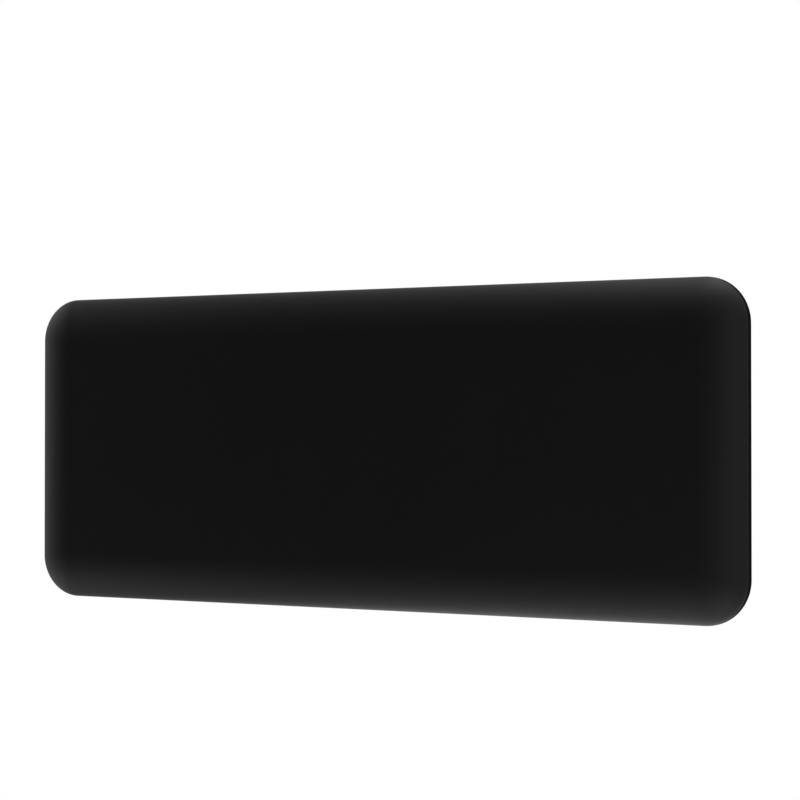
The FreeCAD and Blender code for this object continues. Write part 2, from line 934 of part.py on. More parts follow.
def element_bracket(web_x, outwards):
    """Sheet holder: a foot on the casing's back, a web with the bush and a front foot for the baffle."""
    foot_x = web_x + outwards * holder_foot
    near = web_x - outwards * holder_sheet / 2
    points = [(foot_x, back_inner_y), (near, back_inner_y), (near, baffle_rear_y), (foot_x, baffle_rear_y)]
    low = element_z - holder_half_height
    thickness = holder_sheet * outwards
    body = folded(points, thickness, holder_bend, xy(low), V(0, 0, 2 * holder_half_height))
    hole = rod_x(
        insulator_radius + rod_gap, web_x - holder_foot, web_x + holder_foot, element_y, element_z
    )
    return tidy(body.cut(hole))


# Safety and sensing


def limiter_middle():
    return shield_right - limiter_right_gap, element_z + element_tube_radius + limiter_rise


def thermal_limiter():
    x, z = limiter_middle()
    foot_y = shield_y - shield_sheet
    flange_y = foot_y - limiter_flange_thickness
    flange = slab(
        limiter_flange_length,
        limiter_flange_width,
        limiter_flange_width / 2,
        flange_y,
        foot_y,
        x,
        z,
    )
    top_y = foot_y - limiter_height
    body = rod_y(limiter_radius, top_y, foot_y, x, z)
    blades = []
    for side in (-1, 1):
        middle = x + side * limiter_blade_spacing / 2
        blades.append(
            block(
                middle - limiter_blade_thickness / 2,
                middle + limiter_blade_thickness / 2,
                top_y - limiter_blade_length,
                top_y + overrun,
                z - limiter_blade_width / 2,
                z + limiter_blade_width / 2,
            )
        )
    return tidy(body.fuse([flange] + blades))


def sensor_place():
    return gland_x - sensor_left_of_gland, casing_floor + sensor_clip_height / 2


def sensor_clip():
    x, z = sensor_place()
    clip = block(
        x - sensor_clip_length / 2,
        x + sensor_clip_length / 2,
        wall_rear_y - sensor_clip_width,
        wall_rear_y,
        casing_floor,
        casing_floor + sensor_clip_height,
    )
    y = wall_rear_y - sensor_clip_width / 2
    bore = rod_x(sensor_radius + press_gap, x - sensor_clip_length, x + sensor_clip_length, y, z)
    return clip.cut(bore)


def temperature_sensor():
    x, z = sensor_place()
    y = wall_rear_y - sensor_clip_width / 2
    probe = rod_x(sensor_radius, x - sensor_length / 2, x + sensor_length / 2, y, z)
    return probe.makeFillet(sensor_radius / 2, [probe.Edges[2]])


# Control pod


def pod_box(inset, z0, z1, corner):
    """Block with the pod's outline, taken in by an inset."""
    middle_x = (pod_left + pod_right) / 2
    return pill_z(middle_x, pod_mid_y, pod_length - 2 * inset, pod_width - 2 * inset, corner, z0, z1)


def boss_places():
    inset = pod_wall + pod_boss_inset
    return [
        (x, y)
        for x in (pod_left + inset, pod_right - inset)
        for y in (pod_front_y + inset, pod_rear_y - inset)
    ]


def control_housing():
    shell = pod_box(0, casing_top, pod_top, pod_corner)
    hollow = pod_box(pod_wall, pod_floor, pod_top + overrun, pod_corner - pod_wall)
    neck_y = (neck_front_y + slip_gap, neck_rear_y - slip_gap)
    neck = block(neck_left, neck_right, *neck_y, casing_top - pod_neck_depth, casing_top + overrun)
    duct = block(
        neck_left + pod_wall,
        neck_right - pod_wall,
        neck_y[0] + pod_wall,
        neck_y[1] - pod_wall,
        casing_top - pod_neck_depth - overrun,
        pod_floor + overrun,
    )
    bosses = [
        rod_z(pod_boss_radius, pod_floor - overrun, display_board_z, x, y)
        .fuse(
            block(
                x - pod_boss_radius,
                x + pod_boss_radius,
                y - pod_boss_radius,
                y + pod_boss_radius,
                casing_top,
                pod_floor,
            )
        )
        for x, y in boss_places()
    ]
    pilots = [
        rod_z(
            board_screw_radius + press_gap,
            display_board_top - board_screw_length - slip_gap,
            pod_top,
            x,
            y,
        )
        for x, y in boss_places()
    ]
    body = shell.cut(hollow).fuse(neck).cut(duct).fuse(bosses)
    return tidy(cut_all(body, pilots))


def button_places():
    return [first_button_x + i * button_pitch for i in range(len(button_names))]


def control_fascia():
    lid = pod_box(0, pod_top, fascia_top, pod_corner)
    lid = lid.makeFillet(fascia_edge, [e for e in lid.Edges if e.BoundBox.ZMin > fascia_top - tiny])
    rim_outer = pod_wall + slip_gap
    rim = pod_box(rim_outer, pod_top - fascia_rim_depth, pod_top + overrun, pod_corner - rim_outer)
    rim_inner = rim_outer + fascia_rim
    rim_low = pod_top - fascia_rim_depth - overrun
    rim = rim.cut(pod_box(rim_inner, rim_low, pod_top + 2 * overrun, pod_corner - rim_inner))
    rim = rim.common(pod_box(0, rim_low, pod_top, pod_corner))
    cuts = [
        pill_z(
            window_middle_x,
            pod_mid_y,
            window_length + 2 * press_gap,
            window_width + 2 * press_gap,
            window_corner + press_gap,
            fascia_top - window_thickness,
            fascia_top + overrun,
        ),
        pill_z(
            window_middle_x,
            pod_mid_y,
            window_length - 2 * window_ledge,
            window_width - 2 * window_ledge,
            window_corner / 2,
            pod_top - overrun,
            fascia_top,
        ),
    ]
    cuts += [
        pill_z(
            x,
            pod_mid_y,
            button_length + 2 * slip_gap,
            button_width + 2 * slip_gap,
            button_corner + slip_gap,
            pod_top - overrun,
            fascia_top + overrun,
        )
        for x in button_places()
    ]
    return tidy(cut_all(lid.fuse(rim), cuts))


def display_window():
    return pill_z(
        window_middle_x,
        pod_mid_y,
        window_length,
        window_width,
        window_corner,
        fascia_top - window_thickness,
        fascia_top,
    )


def display_module():
    top = fascia_top - window_thickness - slip_gap
    return block(
        window_middle_x - display_length / 2,
        window_middle_x + display_length / 2,
        pod_mid_y - display_width / 2,
        pod_mid_y + display_width / 2,
        display_board_top,
        top,
    )


def display_board():
    inset = display_board_inset
    board = pod_box(inset, display_board_z, display_board_top, pod_corner - inset)
    holes = [
        rod_z(board_screw_radius + slip_gap, display_board_z - overrun, display_board_top + overrun, x, y)
        for x, y in boss_places()
    ]
    return tidy(cut_all(board, holes))


def tact_switches():
    switches = []
    for x in button_places():
        body = pill_z(
            x,
            pod_mid_y,
            tact_size,
            tact_size,
            tact_floor,
            display_board_top,
            display_board_top + tact_height,
        )
        floor = display_board_top + tact_floor
        well = rod_z(stem_radius + stem_gap, floor, display_board_top + tact_height + overrun, x, pod_mid_y)
        switches.append(body.cut(well))
    return Part.makeCompound(switches)


def wifi_module():
    """Radio module under the display board, in the duct of the pod's neck."""
    return block(
        window_middle_x - wifi_length / 2,
        window_middle_x + wifi_length / 2,
        pod_mid_y - wifi_width / 2,
        pod_mid_y + wifi_width / 2,
        display_board_z - wifi_height,
        display_board_z,
    )


def push_button(x):
    top = fascia_top + button_proud
    flange_top = pod_top - slip_gap / 2
    flange_bottom = flange_top - button_flange_thickness
    cap = pill_z(x, pod_mid_y, button_length, button_width, button_corner, flange_bottom, top)
    cap = cap.makeFillet(button_edge, [e for e in cap.Edges if e.BoundBox.ZMin > top - tiny])
    flange = pill_z(
        x,
        pod_mid_y,
        button_length + 2 * button_flange,
        button_width + 2 * button_flange,
        button_corner + button_flange,
        flange_bottom,
        flange_top,
    )
    stem_bottom = display_board_top + tact_floor + button_travel + stem_gap
    stem = rod_z(stem_radius, stem_bottom, flange_top, x, pod_mid_y)
    return tidy(cap.fuse([flange, stem]))


# Power electronics


def standoff_places():
    inset = standoff_inset
    return [
        (x, z)
        for x in (power_board_left + inset, power_board_right - inset)
        for z in (power_board_bottom + inset, power_board_top - inset)
    ]


def power_board():
    middle_x = (power_board_left + power_board_right) / 2
    board = slab(
        power_board_length,
        power_board_height,
        standoff_inset / 2,
        power_board_face_y,
        power_board_y,
        middle_x,
        power_board_rise,
    )
    holes = [
        rod_y(board_screw_radius + slip_gap, power_board_face_y - overrun, power_board_y + overrun, x, z)
        for x, z in standoff_places()
    ]
    return tidy(cut_all(board, holes))


def board_standoffs():
    posts = []
    for x, z in standoff_places():
        post = rod_y(standoff_radius, power_board_y, back_inner_y, x, z)
        bore = rod_y(
            board_screw_radius + press_gap, power_board_y - overrun, power_board_y + board_screw_length, x, z
        )
        posts.append(post.cut(bore))
    return Part.makeCompound(posts)


def board_screws():
    screws = []
    for x, z in standoff_places():
        tip = power_board_face_y + board_screw_length
        shank = rod_y(board_screw_radius, power_board_face_y - overrun, tip, x, z)
        head = rod_y(
            board_screw_head_radius, power_board_face_y - board_screw_head_height, power_board_face_y, x, z
        )
        screws.append(tidy(shank.fuse(head)))
    for x, y in boss_places():
        shank = rod_z(
            board_screw_radius, display_board_top - board_screw_length, display_board_top + slip_gap, x, y
        )
        head = rod_z(
            board_screw_head_radius, display_board_top, display_board_top + board_screw_head_height, x, y
        )
        screws.append(tidy(shank.fuse(head)))
    return Part.makeCompound(screws)


def on_board(left, bottom, length, height, depth):
    """Block standing on the power board's front face; left and bottom are measured on the board."""
    x = power_board_left + left
    z = power_board_bottom + bottom
    return block(x, x + length, power_board_face_y - depth, power_board_face_y, z, z + height)


def board_places():
    """Lower left corners of the parts on the power board, in two columns."""
    left = board_part_inset
    right = power_board_length - board_part_inset
    upper = power_board_height - board_part_inset
    return {
        "terminal_block": (left, board_part_inset),
        "mains_relay": (right - relay_length, board_part_inset),
        "transformer": (left, upper - transformer_height),
        "filter_capacitor": (left, (power_board_height - capacitor_height) / 2),
        "triac_heatsink": (right - heatsink_length, upper - heatsink_height),
    }


def mains_relay():
    return on_board(*board_places()["mains_relay"], relay_length, relay_height, relay_depth)


def transformer():
    left, bottom = board_places()["transformer"]
    body = on_board(left, bottom, transformer_length, transformer_height, transformer_depth)
    shoulder = (transformer_height - transformer_core) / 2
    groove_depth = (transformer_depth - transformer_core) / 2
    grooves = []
    for start in (0, transformer_height - shoulder):
        plan = (left - overrun, bottom + start, transformer_core + overrun, shoulder)
        grooves.append(on_board(*plan, transformer_depth + overrun).cut(on_board(*plan, groove_depth)))
    return tidy(cut_all(body, grooves))


def filter_capacitor():
    left, bottom = board_places()["filter_capacitor"]
    body = on_board(left, bottom, capacitor_length, capacitor_height, capacitor_depth)
    front = power_board_face_y - capacitor_depth
    edges = [e for e in body.Edges if e.BoundBox.YMax < front + tiny]
    return body.makeFillet(capacitor_height / 4, edges)


def terminal_block():
    left, bottom = board_places()["terminal_block"]
    body = on_board(left, bottom, block_length, block_height, block_depth)
    pitch = block_length / block_ways
    cuts = []
    for way in range(block_ways):
        x = power_board_left + left + (way + 1 / 2) * pitch
        z = power_board_bottom + bottom
        front = power_board_face_y - block_depth
        floor = front + block_screw_depth
        cuts.append(rod_y(block_screw_radius, front - overrun, floor, x, z + block_height / 2))
    return tidy(cut_all(body, cuts))


def triac_heatsink():
    left, bottom = board_places()["triac_heatsink"]
    base = on_board(left, bottom, heatsink_length, heatsink_height, heatsink_base)
    fins = []
    for x in spread(0, heatsink_length - heatsink_fin_thickness, heatsink_fins):
        fins.append(
            on_board(left + x, bottom, heatsink_fin_thickness, heatsink_height, heatsink_depth)
        )
    return tidy(base.fuse(fins))


# Rocker main switch


def rocker_body():
    """Snap-in switch housing with a bezel outside the casing's end wall."""
    bezel_x = casing_half_w + rocker_bezel_thickness
    half_w, half_l = rocker_body_half_w, rocker_body_half_l
    box = block(
        rocker_floor_x,
        bezel_x,
        wall_mid_y - half_w,
        wall_mid_y + half_w,
        rocker_z - half_l,
        rocker_z + half_l,
    )
    rim_w, rim_l = half_w + rocker_bezel, half_l + rocker_bezel
    corners = rectangle(
        yz(casing_half_w), wall_mid_y - rim_w, wall_mid_y + rim_w, rocker_z - rim_l, rocker_z + rim_l
    )
    bezel = plate(corners, rocker_corner, V(rocker_bezel_thickness, 0, 0))
    well = block(
        rocker_floor_x + rocker_wall,
        bezel_x + overrun,
        wall_mid_y - half_w + rocker_wall,
        wall_mid_y + half_w - rocker_wall,
        rocker_z - half_l + rocker_wall,
        rocker_z + half_l - rocker_wall,
    )
    pivot = Part.makeCylinder(
        rocker_trunnion_radius + running_gap,
        2 * (half_w - rocker_wall + rocker_trunnion_length + running_gap),
        V(rocker_pivot_x, wall_mid_y - half_w + rocker_wall - rocker_trunnion_length - running_gap, rocker_z),
        V(0, 1, 0),
    )
    blades = []
    for side in (-1, 1):
        z = rocker_z + side * rocker_blade_spacing / 2
        blades.append(
            block(
                rocker_floor_x - rocker_blade_length,
                rocker_floor_x + overrun,
                wall_mid_y - rocker_blade_width / 2,
                wall_mid_y + rocker_blade_width / 2,
                z - rocker_blade_thickness / 2,
                z + rocker_blade_thickness / 2,
            )
        )
    return tidy(box.fuse([bezel]).cut(well).cut(pivot).fuse(blades))


def rocker_paddle():
    """Paddle on two trunnions, resting on its lower stop."""
    x, z = rocker_pivot_x, rocker_z
    half = rocker_half_length
    low = -rocker_hub / 2
    corners = [
        V(x + rocker_peak, 0, z - half),
        V(x + rocker_valley, 0, z),
        V(x + rocker_peak, 0, z + half),
        V(x, 0, z + half),
        V(x + low, 0, z + rocker_hub),
        V(x + low, 0, z - rocker_hub),
        V(x, 0, z - half),
    ]
    corners = [c + V(0, wall_mid_y - rocker_half_width, 0) for c in corners]
    face = Part.Face(Part.makePolygon(corners + corners[:1]))
    paddle = face.extrude(V(0, 2 * rocker_half_width, 0))
    reach = rocker_half_width + rocker_side_gap + rocker_trunnion_length
    trunnions = rod_y(rocker_trunnion_radius, wall_mid_y - reach, wall_mid_y + reach, x, z)
    paddle = tidy(paddle.fuse(trunnions))
    return paddle.rotated(V(x, wall_mid_y, z), V(0, 1, 0), -rocker_throw / 2)


# Mains entry and wires


def cable_gland():
    """Strain relief bush: flange and tapered sleeve outside, threaded neck inside."""
    flange_z = casing_bottom - gland_flange
    tail_z = flange_z - gland_tail
    axis = (gland_x, wall_mid_y)
    neck = rod_z(gland_radius, casing_bottom - overrun, gland_top, *axis)
    flange = rod_z(gland_flange_radius, flange_z, casing_bottom, *axis)
    tail = Part.makeCone(gland_tail_radius, gland_radius, gland_tail, V(*axis, tail_z), V(0, 0, 1))
    bore = rod_z(gland_bore, tail_z - overrun, gland_top + overrun, *axis)
    return tidy(neck.fuse([flange, tail]).cut(bore))


def gland_nut():
    flats = gland_nut_flats / 2
    corner = flats / math.cos(math.pi / 6)
    turns = [math.pi * i / 3 for i in range(6)]
    points = [
        V(gland_x + corner * math.cos(turn), wall_mid_y + corner * math.sin(turn), casing_floor)
        for turn in turns
    ]
    nut = Part.Face(Part.makePolygon(points + points[:1])).extrude(V(0, 0, gland_nut_height))
    top = casing_floor + gland_nut_height
    bore = rod_z(gland_radius + press_gap, casing_floor - overrun, top + overrun, gland_x, wall_mid_y)
    return tidy(nut.cut(bore))


def earth_stud():
    """Welded stud with its nut and washers, drawn as one turned piece."""
    z = casing_bottom + stud_rise
    stud = rod_y(stud_radius, back_inner_y - stud_length, back_inner_y, gland_x, z)
    washer_y = back_inner_y - stud_washer_gap
    washer = rod_y(stud_washer_radius, washer_y - stud_washer, washer_y, gland_x, z)
    return tidy(stud.fuse(washer))


def block_way(way):
    """Lower face of one way of the terminal block, where its wire goes in."""
    left, bottom = board_places()["terminal_block"]
    x = power_board_left + left + (way + 1 / 2) * block_length / block_ways
    return V(x, power_board_face_y - block_depth / 2, power_board_bottom + bottom)


def into_block(way):
    """Last straight run of a wire, up into the terminal block."""
    end = block_way(way)
    return [end - V(0, 0, wire_entry), end]


def mains_live():
    """From the gland to the upper blade of the main switch."""
    blade_x = rocker_floor_x - rocker_blade_length
    blade_z = rocker_z + rocker_blade_spacing / 2
    start = V(gland_x + gland_bore / 2, wall_mid_y, gland_top)
    return tube([start, V(start.x, wall_mid_y, blade_z), V(blade_x, wall_mid_y, blade_z)], wire_radius)


def mains_neutral():
    """From the gland to the terminal block."""
    end = into_block(2)
    start = V(gland_x - gland_bore / 2, wall_mid_y, gland_top)
    return tube([start, V(start.x, start.y, rocker_z)] + end, wire_radius)


def mains_earth():
    """From the gland to the stud on the casing's back."""
    start = V(gland_x, wall_mid_y + gland_bore - wire_radius - press_gap, gland_top)
    end_y = back_inner_y - stud_washer_gap - stud_washer / 2
    end = V(gland_x, end_y, casing_bottom + stud_rise - stud_washer_radius)
    drop = (end.z - start.z) / 3
    return tube([start, start + V(0, 0, drop), end - V(0, 0, drop), end], wire_radius)


def switch_lead():
    """From the lower blade of the main switch, in front of the other wires, to the terminal block."""
    end = into_block(3)
    start = V(rocker_floor_x - rocker_blade_length, wall_mid_y, rocker_z - rocker_blade_spacing / 2)
    turn = start - V(wire_end_gap, 0, 0)
    front = turn - V(0, wire_step, 0)
    rise = V(end[0].x, front.y, end[0].z - wire_step)
    return tube([start, turn, front, rise] + end, wire_radius)


def limiter_blade(side):
    """Tip of one of the limiter's two blades."""
    x, z = limiter_middle()
    tip = shield_y - shield_sheet - limiter_height - limiter_blade_length
    return V(x + side * limiter_blade_spacing / 2, tip, z)


def element_feed_right():
    """From the element's right terminal to the limiter."""
    start = V(rod_right + terminal_length, element_y, element_z)
    end = limiter_blade(1)
    turn = start + V(wire_end_gap, 0, 0)
    front_y = end.y - wire_end_gap
    return tube(
        [start, turn, V(turn.x, front_y, end.z), V(end.x, front_y, end.z), end],
        wire_radius,
    )


def limiter_lead():
    """From the limiter to the terminal block, above and outside the element's right feed."""
    start = limiter_blade(-1)
    end = into_block(0)
    front_y = start.y - wire_end_gap
    high_z = start.z + 2 * wire_step
    right_x = rod_right + terminal_length + wire_end_gap + wire_step
    return tube(
        [
            start,
            V(start.x, front_y, start.z),
            V(start.x, front_y, high_z),
            V(right_x, front_y, high_z),
            V(right_x, front_y, end[0].z - wire_entry),
            V(end[0].x, end[0].y, end[0].z - wire_entry),
            end[1],
        ],
        wire_radius,
    )


def element_feed_left():
    """From the element's left terminal, down and along the casing's back, to the terminal block."""
    start = V(rod_left - terminal_length, element_y, element_z)
    end = into_block(1)
    right_x = rod_right + terminal_length + wire_end_gap
    return tube(
        [
            start,
            V(feed_left_x, element_y, element_z),
            V(feed_left_x, element_y, (element_z + feed_z) / 2),
            V(feed_left_x, feed_y, feed_z),
            V(right_x, feed_y, feed_z),
            V(end[0].x, feed_y, rocker_z),
        ]
        + end,
        wire_radius,
    )


def wire_clips():
    reach = wire_radius + clip_wall
    clips = []
    for x in spread(fins_left + clip_end_gap, fins_right - clip_end_gap, clip_count):
        clip = block(
            x - clip_length / 2,
            x + clip_length / 2,
            feed_y - reach,
            back_inner_y,
            feed_z - reach,
            feed_z + reach,
        )
        bore = rod_x(wire_radius + press_gap, x - clip_length, x + clip_length, feed_y, feed_z)
        clips.append(clip.cut(bore))
    return Part.makeCompound(clips)


def sensor_lead():
    """From the room sensor to the lower edge of the power board."""
    x, z = sensor_place()
    start = V(x + sensor_length / 2, wall_rear_y - sensor_clip_width / 2, z)
    turn = start + V(sensor_lead_run, 0, 0)
    end = V(turn.x, (power_board_y + power_board_face_y) / 2, power_board_bottom)
    return tube([start, turn, V(end.x, end.y, end.z - wire_entry), end], lead_radius)


def ribbon_cable():
    """Flat cable from the power board's top edge up to the display board."""
    x = (power_board_left + power_board_right) / 2
    y = (power_board_y + power_board_face_y) / 2
    return block(
        x - ribbon_width / 2,
        x + ribbon_width / 2,
        y - ribbon_thickness / 2,
        y + ribbon_thickness / 2,
        power_board_top,
        display_board_z,
    )


# Wall bracket


def rail_rivet_places():
    """Rivets through the rails' end tabs, as y and z."""
    y = -(rail_sheet + rail_tab_depth) / 2
    return [
        (y, z + side * rail_rivet_spacing / 2) for z in (rail_upper_z, rail_lower_z) for side in (-1, 1)
    ]


def arm_outline(x):
    """Side wall of an arm: open hook at the bottom, mouth above it, straight wall to the top."""
    hook_front = -pivot_depth - hook_radius
    slot_front = -pivot_depth - hook_bore
    slot_rear = -pivot_depth + hook_bore
    mouth_z = pivot_z + hook_mouth
    top_z = casing_top - arm_top_drop
    corners = [
        (0, arm_bottom, 0),
        (hook_front, arm_bottom, hook_radius),
        (hook_front, pivot_z + hook_tine, hook_tip),
        (slot_front, pivot_z + hook_tine, hook_tip),
        (slot_front, pivot_z - hook_bore, hook_bore),
        (slot_rear, pivot_z - hook_bore, hook_bore),
        (slot_rear, mouth_z, hook_tip),
        (-arm_depth, mouth_z, hook_tip),
        (-arm_depth, top_z, hook_radius),
        (0, top_z, 0),
    ]
    return rounded_wire([V(x, y, z) for y, z, _ in corners], [r for _, _, r in corners])


def bracket_arm(side):
    """Folded channel with a hook, wall screw holes and a tab for the lock."""
    x = side * arm_x
    left, right = x - arm_half, x + arm_half
    depth = max(arm_depth, pivot_depth + hook_radius)
    fold = [(right, -depth), (right, 0), (left, 0), (left, -depth)]
    height = casing_top - arm_top_drop - arm_bottom
    channel = folded(fold, bracket_sheet, bracket_bend, xy(arm_bottom), V(0, 0, height))
    channel = channel.common(Part.Face(arm_outline(left)).extrude(V(arm_width, 0, 0)))
    neck_z = casing_top - arm_top_drop - hook_radius
    neck = folded(
        [(0, neck_z), (0, tab_top), (-tab_reach, tab_top)],
        bracket_sheet,
        bracket_bend,
        yz(left + bracket_sheet + bracket_bend),
        V(arm_width - 2 * (bracket_sheet + bracket_bend), 0, 0),
    )
    plan = rectangle(xy(neck_z), left, right, -tab_reach, 0)
    rounded = plate(plan, [tab_corner, tab_corner, 0, 0], V(0, 0, tab_top - neck_z))
    arm = channel.fuse(neck.common(rounded))
    cuts = [
        rod_y(bolt_radius, -bracket_sheet - overrun, overrun, x, side * bolt_z) for side in (-1, 1)
    ]
    cuts.append(rod_z(lock_hub_radius + running_gap, tab_z - overrun, tab_top + overrun, x, lock_y))
    inner_wall = side * (arm_x - arm_half)
    cuts += [
        rod_x(rivet_radius + press_gap, inner_wall - bracket_bend, inner_wall + bracket_bend, y, z)
        for y, z in rail_rivet_places()
    ]
    return tidy(cut_all(arm, cuts))


def bracket_rail(z):
    """Channel between the arms, with a riveted tab at each end."""
    half = rail_height / 2
    inner = arm_x - arm_half
    fold = [(-rail_depth, z + half), (0, z + half), (0, z - half), (-rail_depth, z - half)]
    rail = folded(fold, -rail_sheet, rail_bend, yz(-inner), V(2 * inner, 0, 0))
    tabs = [
        block(
            x, x + rail_sheet, -rail_tab_depth, -rail_sheet, z - half + rail_sheet, z + half - rail_sheet
        )
        for x in (-inner, inner - rail_sheet)
    ]
    holes = [
        rod_x(rivet_radius + press_gap, -inner - overrun, inner + overrun, y, hole_z)
        for y, hole_z in rail_rivet_places()
        if abs(hole_z - z) < half
    ]
    return tidy(cut_all(rail.fuse(tabs), holes))


def rivet(start, end, along):
    """Rivet between two faces, with a round head on each."""
    shank = Part.makeCylinder(rivet_radius, (end - start).Length, start, along)
    heads = []
    for place, way in ((start, along * -1), (end, along)):
        head = Part.makeCone(
            rivet_head_radius, rivet_head_radius - rivet_head_height, rivet_head_height, place, way
        )
        heads.append(head)
    return tidy(shank.fuse(heads))


def bracket_rivets():
    inner = arm_x - arm_half
    rivets = []
    for y, z in rail_rivet_places():
        for side in (-1, 1):
            start = V(side * (inner - rail_sheet), y, z)
            end = V(side * (inner + bracket_sheet), y, z)
            rivets.append(rivet(start, end, V(side, 0, 0)))
    return Part.makeCompound(rivets)


def rest_pads():
    """Rubber clips on the arms' front edges, which the casing's back rests against."""
    top = casing_top - pad_top_gap
    pads = []
    for side in (-1, 1):
        for wall in (-1, 1):
            edge = side * arm_x + wall * (arm_half - bracket_sheet / 2)
            low = -wall_gap + slip_gap
            grip_y = -arm_depth + pad_grip
            pad = slab(pad_width, pad_height, 0, low, grip_y, edge, top - pad_height / 2)
            groove = block(
                edge - bracket_sheet / 2 - press_gap,
                edge + bracket_sheet / 2 + press_gap,
                -arm_depth,
                grip_y + overrun,
                top - pad_height - overrun,
                top + overrun,
            )
            pads.append(pad.cut(groove))
    return Part.makeCompound(pads)


# Hinge, on the casing's back


def hinge_lugs():
    """Folded lugs riveted to the casing's back, whose ears carry the hinge pins."""
    outer = lug_inner + lug_sheet
    nose_y = pivot_y + lug_nose
    base_y = back_y + lug_sheet
    lugs = []
    for side in (-1, 1):
        x = side * arm_x
        fold = [(x + outer, nose_y), (x + outer, back_y), (x - outer, back_y), (x - outer, nose_y)]
        low = pivot_z - lug_half_height
        body = folded(fold, -lug_sheet, lug_sheet, xy(low), V(0, 0, 2 * lug_half_height))
        corners = [
            (back_y, -lug_half_height, 0),
            (base_y, -lug_half_height, 0),
            (nose_y, -lug_nose, lug_nose / 2),
            (nose_y, lug_nose, lug_nose / 2),
            (base_y, lug_half_height, 0),
            (back_y, lug_half_height, 0),
        ]
        side_view = [V(x - outer, y, pivot_z + z) for y, z, _ in corners]
        body = body.common(plate(side_view, [r for _, _, r in corners], V(2 * outer, 0, 0)))
        holes = [rod_x(pin_radius + press_gap, x - outer - overrun, x + outer + overrun, pivot_y, pivot_z)]
        holes += [
            rod_y(rivet_radius + press_gap, back_y - overrun, base_y + overrun, rx, rz)
            for rx, rz in lug_rivet_places()
        ]
        lugs.append(tidy(cut_all(body, holes)))
    return Part.makeCompound(lugs)


def hinge_pins():
    outer = lug_inner + lug_sheet
    pins = []
    for side in (-1, 1):
        x = side * arm_x
        pin = rod_x(pin_radius, x - outer, x + outer, pivot_y, pivot_z)
        heads = [
            rod_x(pin_head_radius, x - outer - pin_head_length, x - outer, pivot_y, pivot_z),
            rod_x(pin_head_radius, x + outer, x + outer + pin_head_length, pivot_y, pivot_z),
        ]
        pins.append(tidy(pin.fuse(heads)))
    return Part.makeCompound(pins)


def hanger_rivets():
    """Rivets of the hinge lugs and of the lock keepers."""
    stacks = [(x, z, lug_sheet) for x, z in lug_rivet_places()]
    stacks += [(x, z, keeper_thickness) for x, z in keeper_rivet_places()]
    return Part.makeCompound(
        [rivet(V(x, back_inner_y, z), V(x, back_y + sheet, z), V(0, 1, 0)) for x, z, sheet in stacks]
    )


# Locks, at the top of the bracket


def lock(side):
    """Turning lock: knob above the tab, hub through it, and a nose that swings in front of the keeper."""
    x = side * arm_x
    half = lock_arm_width / 2
    arm_top = lock_arm_z + lock_arm_thickness
    head_z = tab_top + slip_gap
    head_top = head_z + lock_head_height
    hub = rod_z(lock_hub_radius, lock_arm_z, head_z + overrun, x, lock_y)
    collar = rod_z(lock_hub_radius + lock_wing_width / 2, lock_arm_z, arm_top, x, lock_y)
    head = rod_z(lock_head_radius, head_z, head_top, x, lock_y)
    head = head.makeFillet(fascia_edge, [e for e in head.Edges if e.BoundBox.ZMin > head_top - tiny])
    wing_half = lock_wing_length / 2
    wing_plan = rectangle(
        xy(head_top - overrun),
        x - lock_wing_width / 2,
        x + lock_wing_width / 2,
        lock_y - wing_half,
        lock_y + wing_half,
    )
    wing_grip = plate(wing_plan, lock_wing_width / 3, V(0, 0, lock_wing_height + overrun))
    arm = block(x - half, x + half, lock_y - lock_nose_outer, lock_y, lock_arm_z, arm_top)
    nose = block(
        x - half,
        x + half,
        lock_y - lock_nose_outer,
        lock_y - lock_nose_inner,
        casing_top + nose_floor_gap,
        arm_top,
    )
    body = tidy(hub.fuse([collar, head, wing_grip, arm, nose]))
    return body.rotated(V(x, lock_y, 0), V(0, 0, 1), -side * quarter_turn)


def lock_keepers():
    """Plates riveted to the casing's back; the lip of each stands up in the path of a lock's nose."""
    base_top = casing_top - keeper_base_drop
    base_low = base_top - keeper_base_height
    keepers = []
    for side in (-1, 1):
        x = side * arm_x
        outer = x + side * keeper_half_width
        near = x - side * keeper_overlap
        inner = x - side * keeper_half_width
        corners = [
            (inner, base_low),
            (outer, base_low),
            (outer, lip_top),
            (near, lip_top),
            (near, base_top),
            (inner, base_top),
        ]
        body = plate([V(cx, back_y, cz) for cx, cz in corners], keeper_corner, V(0, keeper_thickness, 0))
        holes = [
            rod_y(rivet_radius + press_gap, back_y - overrun, back_y + keeper_thickness + overrun, rx, rz)
            for rx, rz in keeper_rivet_places()
        ]
        keepers.append(tidy(cut_all(body, holes)))
    return Part.makeCompound(keepers)


# Every node of the part, by name

